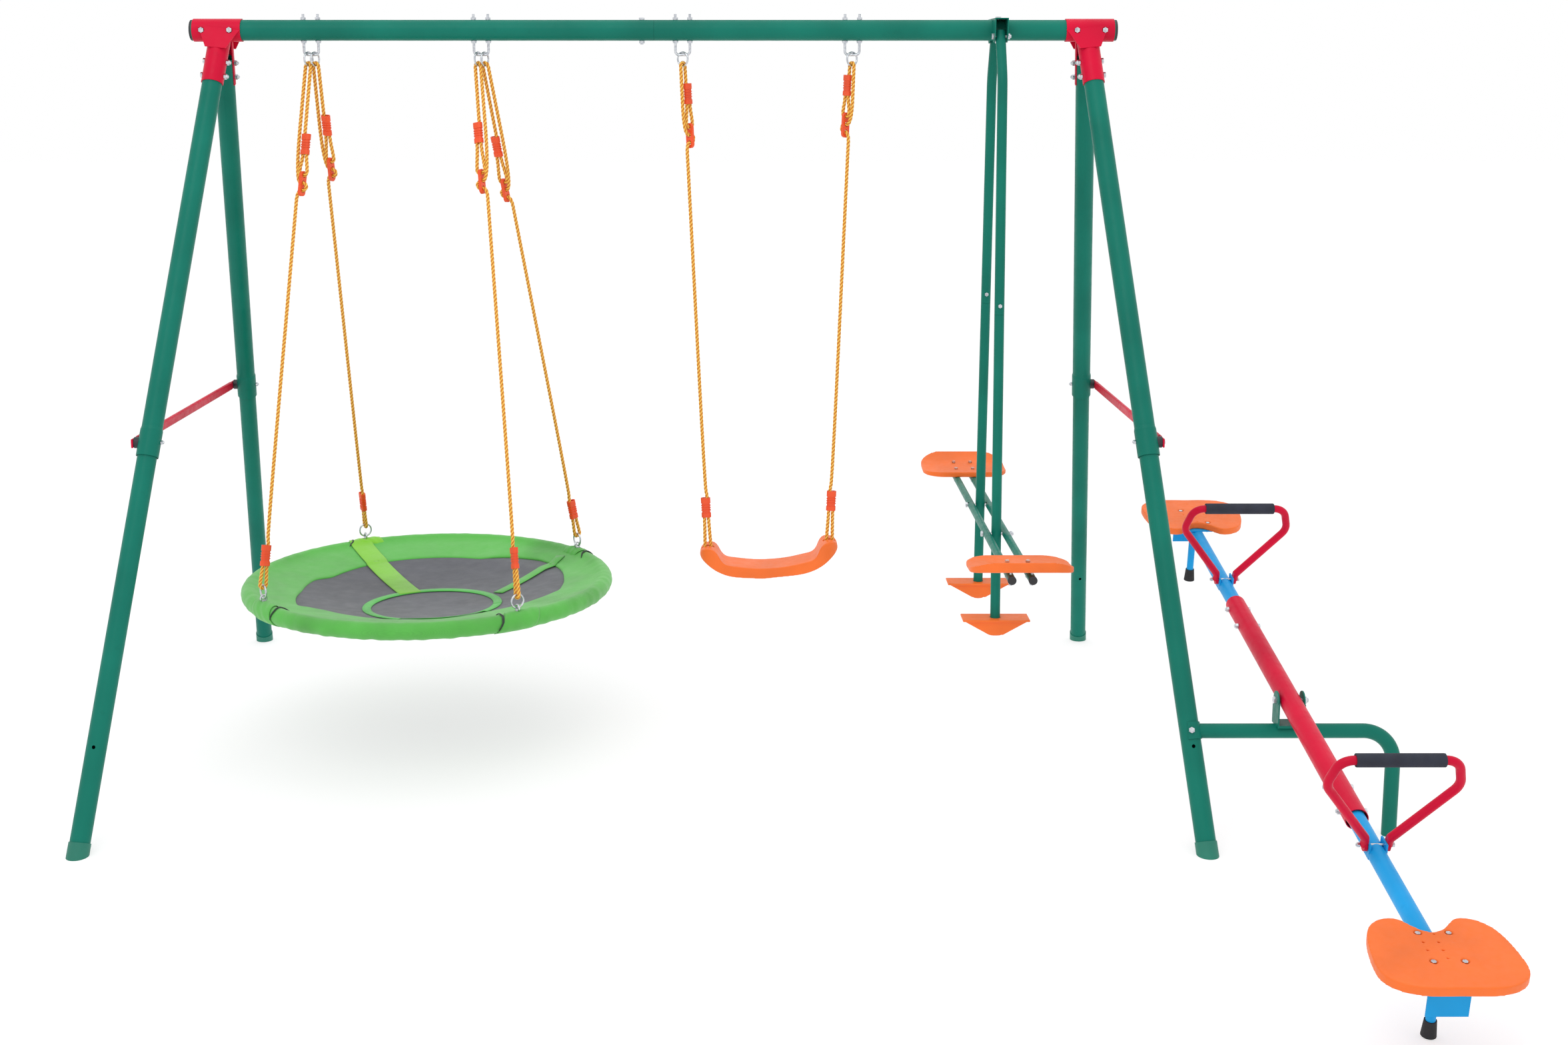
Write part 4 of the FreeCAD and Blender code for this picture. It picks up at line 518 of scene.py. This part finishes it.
def twisted_rope(name, points):
    """A three-strand rope along a route: one skin with three turning crowns."""
    line, along = spline_points(points)
    tangent = np.gradient(line, axis=0)
    tangent /= np.linalg.norm(tangent, axis=1)[:, None]
    # Any direction across the rope will do to start with
    side = np.cross(tangent[0], (0.3, 0.7, 0.2))
    side /= np.linalg.norm(side)
    verts = []
    crown_shading = []
    fibre = []
    around = np.arange(ROPE_SIDES) * 2 * math.pi / ROPE_SIDES
    for i in range(len(line)):
        side = side - tangent[i] * side.dot(tangent[i])
        side /= np.linalg.norm(side)
        other = np.cross(tangent[i], side)
        turn = 2 * math.pi * along[i] / LAY
        nearest = (around - turn + math.pi / 3) % (2 * math.pi / 3) - math.pi / 3
        reach = STRAND_OFF * np.cos(nearest) + np.sqrt(STRAND_R ** 2 - (STRAND_OFF * np.sin(nearest)) ** 2)
        skin = np.outer(np.cos(around) * reach, side) + np.outer(np.sin(around) * reach, other)
        verts += list(line[i] + skin)
        # How far the skin stands out at each point, from furrow (0) to crown (1); the rope's material paints
        # shade in the furrows and a highlight on the crowns from it.
        crown_shading += list((reach - reach.min()) / (reach.max() - reach.min()))
        fibre += list(nearest * FIBRES_ACROSS + along[i] * FIBRES_ALONG)
    obj = add_mesh(name, verts, tube_faces(len(line), ROPE_SIDES), MATERIALS["rope"])
    for key, values in (("crown_shading", crown_shading), ("fibre", fibre)):
        attribute = obj.data.attributes.new(key, "FLOAT", "POINT")
        attribute.data.foreach_set("value", np.array(values, np.float32))
    return obj, line


def add_rope(node_name, body, points):
    """One rope in place of its CAD solid."""
    obj, line = twisted_rope(node_name + "_twisted", points)
    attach(obj, body)
    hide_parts(node_name)


def add_ropes():
    """All six ropes."""
    for name, (_, _, _, sleeve_at, adjuster_at, tail, length) in NEST_ROPES.items():
        points = rope_route(*nest_rope_ends(name), sleeve_at, adjuster_at, tail)
        add_rope("nest_rope_" + name, "nest", points)
    for name, (_, _, sleeve_at, adjuster_at, tail, length) in BELT_ROPES.items():
        points = rope_route(*belt_rope_ends(name), sleeve_at, adjuster_at, tail)
        add_rope("belt_rope_" + name, "belt_swing", points)


# ---------------------------------------------------------------- nest fabric

# Steps round the rim, across the band and round the rim's roll
RIM_STEPS = 288
BAND_STEPS = 9
ROLL_STEPS = 15
UNDER_STEPS = 7
# Points of a section of the cover that lie on its upper side
UPPER_POINTS = BAND_STEPS + 7
# How far inside the hoop's middle line the cover's roll begins, and how far it is above and below it there
ROLL_IN = 0.0185
ROLL_ABOVE = 0.0115
ROLL_BELOW = 0.012
# The mat's outer radius and cloth. It sags by MAT_SAG below the hoop's middle at its own middle and rises by
# MAT_RISE out to the radius BOWL_R. It stays MAT_BELOW_HOOP under the hoop's middle.
MAT_REACH = 0.425
MAT_THICK = 0.003
MAT_SAG = 0.0482
MAT_RISE = 0.034
BOWL_R = 0.352
MAT_BELOW_HOOP = 0.016
MAT_RINGS = 26
MAT_SPOKES = 144
# A tape's thickness, the cover's skin under the cuffs, a cuff's height at its edge and middle, and steps
TAPE_THICK = 0.0014
SKIN = 0.0012
CUFF_FOOT = 0.0004
CUFF_LIFT = 0.0032
CUFF_STEPS = 22
CUFF_TURNS = 30
SLIT_STEPS = 30
# Radius of the band's inner edge at each bearing from the nest's middle: (degrees, metres)
BAND_EDGE = ((0, 0.362), (15, 0.372), (30, 0.392), (47, 0.402), (62, 0.376), (73, 0.334), (89, 0.337),
             (111, 0.336), (134, 0.330), (157, 0.318), (166, 0.342), (186, 0.342), (201, 0.361), (213, 0.372),
             (224, 0.322), (240, 0.306), (260, 0.302), (277, 0.292), (311, 0.281), (338, 0.320), (353, 0.361))

# Cuff name: (bearings of its two ends, slant over the rim)
CUFFS = {
    "rear_left": (117.0, 125.5, -1.5),
    "rear_right": (33.0, 41.0, 1.5),
    "front_right": (302.5, 314.5, 2.0),
    "front_left": (213.0, 224.0, -2.0),
}
# Slit name: (width, its line over the rim as pairs of bearing and turn round the hoop)
SLITS = {
    "rear_left": (0.013, ((127.0, 30), (126.5, 70), (127.2, 110), (129.5, 150))),
    "rear_right": (0.010, ((31.0, 30), (32.0, 80), (31.0, 120), (28.5, 160))),
    "front_right": (0.008, ((299.5, -30), (301.0, 20), (301.4, 60), (300.5, 150))),
    "front_left": (0.008, ((226.0, -10), (226.8, 50), (226.2, 100), (228.5, 150))),
}


def band_edge(angle):
    """Radius of the green band's inner edge at a bearing in radians."""
    degrees = np.degrees(angle) % 360
    bearings = [b for b, _ in BAND_EDGE] + [360]
    radii = [r for _, r in BAND_EDGE] + [BAND_EDGE[0][1]]
    return float(np.interp(degrees, bearings, radii))


def smooth_edge():
    """The band's inner edge all round, with its corners eased."""
    angles = np.arange(RIM_STEPS) * 2 * math.pi / RIM_STEPS
    radii = np.array([band_edge(a) for a in angles])
    for _ in range(3):
        radii = (np.roll(radii, 1) + 2 * radii + np.roll(radii, -1)) / 4
    return angles, radii


def mat_height(radius):
    """Height of the mat's top at a distance from the nest's middle: a shallow bowl."""
    return NEST_Z - MAT_SAG + MAT_RISE * min(1.0, (radius / BOWL_R) ** 2)


def rim_pucker(angle, level):
    """Small gathers of the rim's cloth; the level is their strength."""
    gather = 0.0011 * math.sin(angle * 47) * math.sin(angle * 9 + 1) + 0.0009 * math.sin(angle * 83 + 2)
    return gather * level


def rim_section(angle, edge):
    """One section of the cover, from its inner edge over the rim and back below: (radius, height) pairs."""
    section = []
    roll_in = NEST_R - ROLL_IN
    mat_top = mat_height(edge)
    # The band's upper side, from just above the mat up to the roll
    start_z = mat_top + 0.0035
    for i in range(BAND_STEPS):
        t = i / BAND_STEPS
        ripple = 0.0008 * math.sin(math.pi * t) * math.sin(angle * 7 + 5 * t)
        section.append((edge + (roll_in - edge) * t, start_z + (NEST_Z + ROLL_ABOVE - start_z) * t + ripple))
    # The roll round the hoop, with its gathers strongest below
    for i in range(ROLL_STEPS):
        turn = math.radians(140 - i * 20)
        reach = RIM_R + 0.001 + rim_pucker(angle, 0.35 + 0.65 * (1 - math.sin(turn)) / 2)
        section.append((NEST_R + reach * math.cos(turn), NEST_Z + reach * math.sin(turn)))
    # The band's underside, back to its inner edge below the mat
    low_z = NEST_Z - ROLL_BELOW
    for i in range(1, UNDER_STEPS):
        t = i / UNDER_STEPS
        section.append((roll_in + (edge - roll_in) * t, low_z + (mat_top - 0.006 - low_z) * t))
    section.append((edge + 0.0005, mat_top - 0.0045))
    return section


def add_rim_cover():
    """The padded green cover, in place of its plain CAD solid."""
    angles, edges = smooth_edge()
    points = []
    for angle, edge in zip(angles, edges):
        section = rim_section(angle, edge)
        points += [in_frame(NEST_X + r * math.cos(angle), r * math.sin(angle), z) for r, z in section]
    sides = len(section)
    obj = add_mesh("nest_cover", points, tube_faces(RIM_STEPS, sides, closed=True), MATERIALS["green_fabric"])
    apply_modifier(obj, "SUBSURF", levels=1, render_levels=1)
    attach(obj, "nest")
    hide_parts("nest_rim_cover")


def add_mat():
    """The dark woven mat: a shallow bowl under the band."""
    points = [in_frame(NEST_X, 0, mat_height(0))]
    under = [in_frame(NEST_X, 0, mat_height(0) - MAT_THICK)]
    for i in range(1, MAT_RINGS + 1):
        r = MAT_REACH * i / MAT_RINGS
        for k in range(MAT_SPOKES):
            angle = 2 * math.pi * k / MAT_SPOKES
            ripple = 0.0012 * math.sin(3 * angle + 9 * r) * (r / MAT_REACH)
            z = min(mat_height(r) + ripple, NEST_Z - MAT_BELOW_HOOP)
            points.append(in_frame(NEST_X + r * math.cos(angle), r * math.sin(angle), z))
            under.append(in_frame(NEST_X + r * math.cos(angle), r * math.sin(angle), z - MAT_THICK))
    ring = [(k, (k + 1) % MAT_SPOKES) for k in range(MAT_SPOKES)]
    # The upper side: triangles round the middle, then rings of quads
    faces = [(0, 1 + k, 1 + after) for k, after in ring]
    for i in range(MAT_RINGS - 1):
        a = 1 + i * MAT_SPOKES
        b = a + MAT_SPOKES
        faces += [(a + k, b + k, b + after, a + after) for k, after in ring]
    # The same below, and the edge between them
    count = len(points)
    faces += [tuple(count + corner for corner in reversed(face)) for face in faces]
    rim = 1 + (MAT_RINGS - 1) * MAT_SPOKES
    low = count + rim
    faces += [(rim + k, low + k, low + after, rim + after) for k, after in ring]
    obj = add_mesh("nest_woven_mat", points + under, faces, MATERIALS["grey_fabric"])
    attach(obj, "nest")
    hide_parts("nest_mat")


def add_tape(name, line, width, material, lift=0.0016):
    """A flat tape laid on the mat along points (x, y) from the nest's middle."""
    line = [Vector((x, y, 0)) for x, y in line]
    points = []
    for i, at in enumerate(line):
        way = (line[min(i + 1, len(line) - 1)] - line[max(i - 1, 0)]).normalized()
        across = Vector((-way.y, way.x, 0))
        for offset, height in ((-0.5, 0), (-0.46, TAPE_THICK), (0.46, TAPE_THICK), (0.5, 0)):
            p = at + across * (width * offset)
            z = surface_height(p.x, p.y) + lift + height
            points.append(in_frame(NEST_X + p.x, p.y, z))
    obj = add_mesh(name, points, tube_faces(len(line), 4), material)
    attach(obj, "nest")


def surface_height(x, y):
    """Height of the nest's upper surface at a place: the mat, the band or the rim's roll."""
    r = math.hypot(x, y)
    angle = math.atan2(y, x)
    section = rim_section(angle, band_edge(angle))[:UPPER_POINTS]
    for (r0, z0), (r1, z1) in zip(section, section[1:]):
        if r0 <= r <= r1:
            return z0 + (z1 - z0) * (r - r0) / (r1 - r0)
    return mat_height(r)


def ellipse(centre, radii):
    """Points round an ellipse."""
    steps = 96
    return [(centre[0] + radii[0] * math.cos(2 * math.pi * k / steps),
             centre[1] + radii[1] * math.sin(2 * math.pi * k / steps)) for k in range(steps + 1)]


def straight(start, end, steps=24):
    """Points along a straight line."""
    return [(start[0] + (end[0] - start[0]) * k / steps, start[1] + (end[1] - start[1]) * k / steps)
            for k in range(steps + 1)]


def rim_point(bearing, turn, lift):
    """A point on the rim's roll: bearing round the nest, turn round the hoop (90 is its top), in degrees."""
    a = math.radians(bearing)
    b = math.radians(turn)
    reach = RIM_R + SKIN + lift
    r = NEST_R + reach * math.cos(b)
    return in_frame(NEST_X + r * math.cos(a), r * math.sin(a), NEST_Z + reach * math.sin(b))


def add_cuff(name, start, end, slant, material):
    """A loop of cloth sewn round the rim between two bearings, with soft gathers and rolled ends."""
    points = []
    for i in range(CUFF_STEPS + 1):
        t = i / CUFF_STEPS
        ends = min(1.0, 6 * t, 6 * (1 - t))
        for k in range(CUFF_TURNS):
            u = k / (CUFF_TURNS - 1)
            turn = -80 + 300 * u
            hem = min(1.0, 5 * u, 5 * (1 - u))
            lean = slant * (turn - 90) / 90
            gather = 0.0007 * math.sin(t * 19 + turn * 0.05) * ends
            height = CUFF_FOOT + (CUFF_LIFT - CUFF_FOOT + gather) * (0.45 + 0.55 * ends) * hem
            points.append(rim_point(start + (end - start) * t + lean, turn, height))
    faces = []
    for i in range(CUFF_STEPS):
        a = i * CUFF_TURNS
        b = a + CUFF_TURNS
        faces += [(a + k, b + k, b + k + 1, a + k + 1) for k in range(CUFF_TURNS - 1)]
    obj = add_mesh(name, points, faces, material)
    apply_modifier(obj, "SOLIDIFY", thickness=0.0012, offset=0.0)
    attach(obj, "nest")


def add_slit(name, route, width):
    """Painted shade in the gap at a cuff's end: a dark strip drawn along (bearing, turn) points over the rim.
    """
    route = np.array(route, float)
    place = np.linspace(0, len(route) - 1, SLIT_STEPS)
    line = np.stack([np.interp(place, range(len(route)), route[:, k]) for k in range(2)], axis=1)
    points = []
    for i, (bearing, turn) in enumerate(line):
        wide = width * math.sin(math.pi * (0.08 + 0.84 * i / (SLIT_STEPS - 1)))
        half = math.degrees(wide / 2 / NEST_R)
        points += [rim_point(bearing - half, turn, 0.0014), rim_point(bearing, turn, 0.0036),
                   rim_point(bearing + half, turn, 0.0014), rim_point(bearing, turn, 0.0002)]
    obj = add_mesh(name, points, tube_faces(SLIT_STEPS, 4), SLIT_SHADE_MATERIAL)
    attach(obj, "nest")


def add_nest_tapes():
    """The tape circle on the mat, its spokes, and the cuffs and straps round the rim at the four eyes."""
    cloth = MATERIALS["green_fabric"]
    add_tape("nest_tape_circle", ellipse((0.025, -0.107), (0.174, 0.188)), 0.024, CIRCLE_MATERIAL)
    add_tape("nest_tape_spoke_right", straight((0.185, 0.02), (0.335, 0.275)), 0.032, cloth, lift=0.0024)
    left_spoke = straight((-0.060, 0.045), (-0.270, 0.394), 48)
    add_tape("nest_tape_spoke_left", left_spoke, 0.066, STRAP_MATERIAL, lift=0.0026)
    for name, (start, end, slant) in CUFFS.items():
        add_cuff("nest_cuff_" + name, start, end, slant, STRAP_MATERIAL if name == "rear_left" else cloth)
    for name, (width, route) in SLITS.items():
        add_slit("nest_slit_shade_" + name, route, width)


# ---------------------------------------------------------------- stage, light and camera

# The camera: its place from the ground below the beam's middle, its dip and turn, its focal length in
# millimetres, and its shift as a share of the picture's width
CAMERA_AT = (0.2371, -5.0804, 1.7739)
CAMERA_DOWN = 9.406
CAMERA_YAW = -0.156
LENS = 43.66
SHIFT = (0.0219, -0.0782)


def add_area(name, place, target, size, power):
    """A soft rectangular light that faces a point."""
    light = bpy.data.lights.new(name, "AREA")
    light.shape = "SQUARE"
    light.size = size
    light.energy = power
    obj = bpy.data.objects.new(name, light)
    obj.location = place
    obj.rotation_euler = (Vector(target) - Vector(place)).to_track_quat("-Z", "Y").to_euler()
    bpy.context.scene.collection.objects.link(obj)


def add_stage():
    """A pale floor, a white surround, soft lights from above and the camera."""
    floor = add_mesh("floor", [(-40, -40, 0), (40, -40, 0), (40, 40, 0), (-40, 40, 0)], [(0, 1, 2, 3)],
                     floor_material(), smooth=False)
    world = bpy.data.worlds.new("surround")
    bpy.context.scene.world = world
    world.use_nodes = True
    background = world.node_tree.nodes["Background"]
    background.inputs["Color"].default_value = (1.0, 1.0, 1.0, 1.0)
    background.inputs["Strength"].default_value = 1.0
    add_area("key", place=(-1.5, -4.0, 6.0), target=(0, 0.5, 0.8), size=4.0, power=70.0)
    add_area("top", place=(0.5, 0.5, 6.5), target=(0, 0.5, 0), size=5.0, power=45.0)
    scene = bpy.context.scene
    scene.view_settings.view_transform = "Standard"
    camera = bpy.data.cameras.new("camera")
    camera.lens = LENS
    camera.sensor_width = 36.0
    camera.shift_x, camera.shift_y = SHIFT
    obj = bpy.data.objects.new("camera", camera)
    obj.location = in_frame(*CAMERA_AT)
    obj.rotation_euler = (math.radians(90 - CAMERA_DOWN), 0.0, math.radians(CAMERA_YAW))
    scene.collection.objects.link(obj)
    scene.camera = obj


def floor_material():
    """A backlit white floor that hides its horizon and keeps only faint shadows."""
    mat, tree, shader = new_material("floor")
    base = ramp(tree, noise(tree, 0.6, 2.0), [(0.3, (0.44, 0.44, 0.445)), (0.7, (0.46, 0.46, 0.465))])
    tree.links.new(base, shader.inputs["Base Color"])
    shader.inputs["Roughness"].default_value = 0.9
    shader.inputs["Specular IOR Level"].default_value = 0.0
    shader.inputs["Emission Color"].default_value = (1.0, 1.0, 1.0, 1.0)
    shader.inputs["Emission Strength"].default_value = 0.58
    return mat


def main():
    finish_cad_nodes()
    add_ropes()
    add_rim_cover()
    add_mat()
    add_nest_tapes()
    add_moulded_parts()
    add_stage()


main()
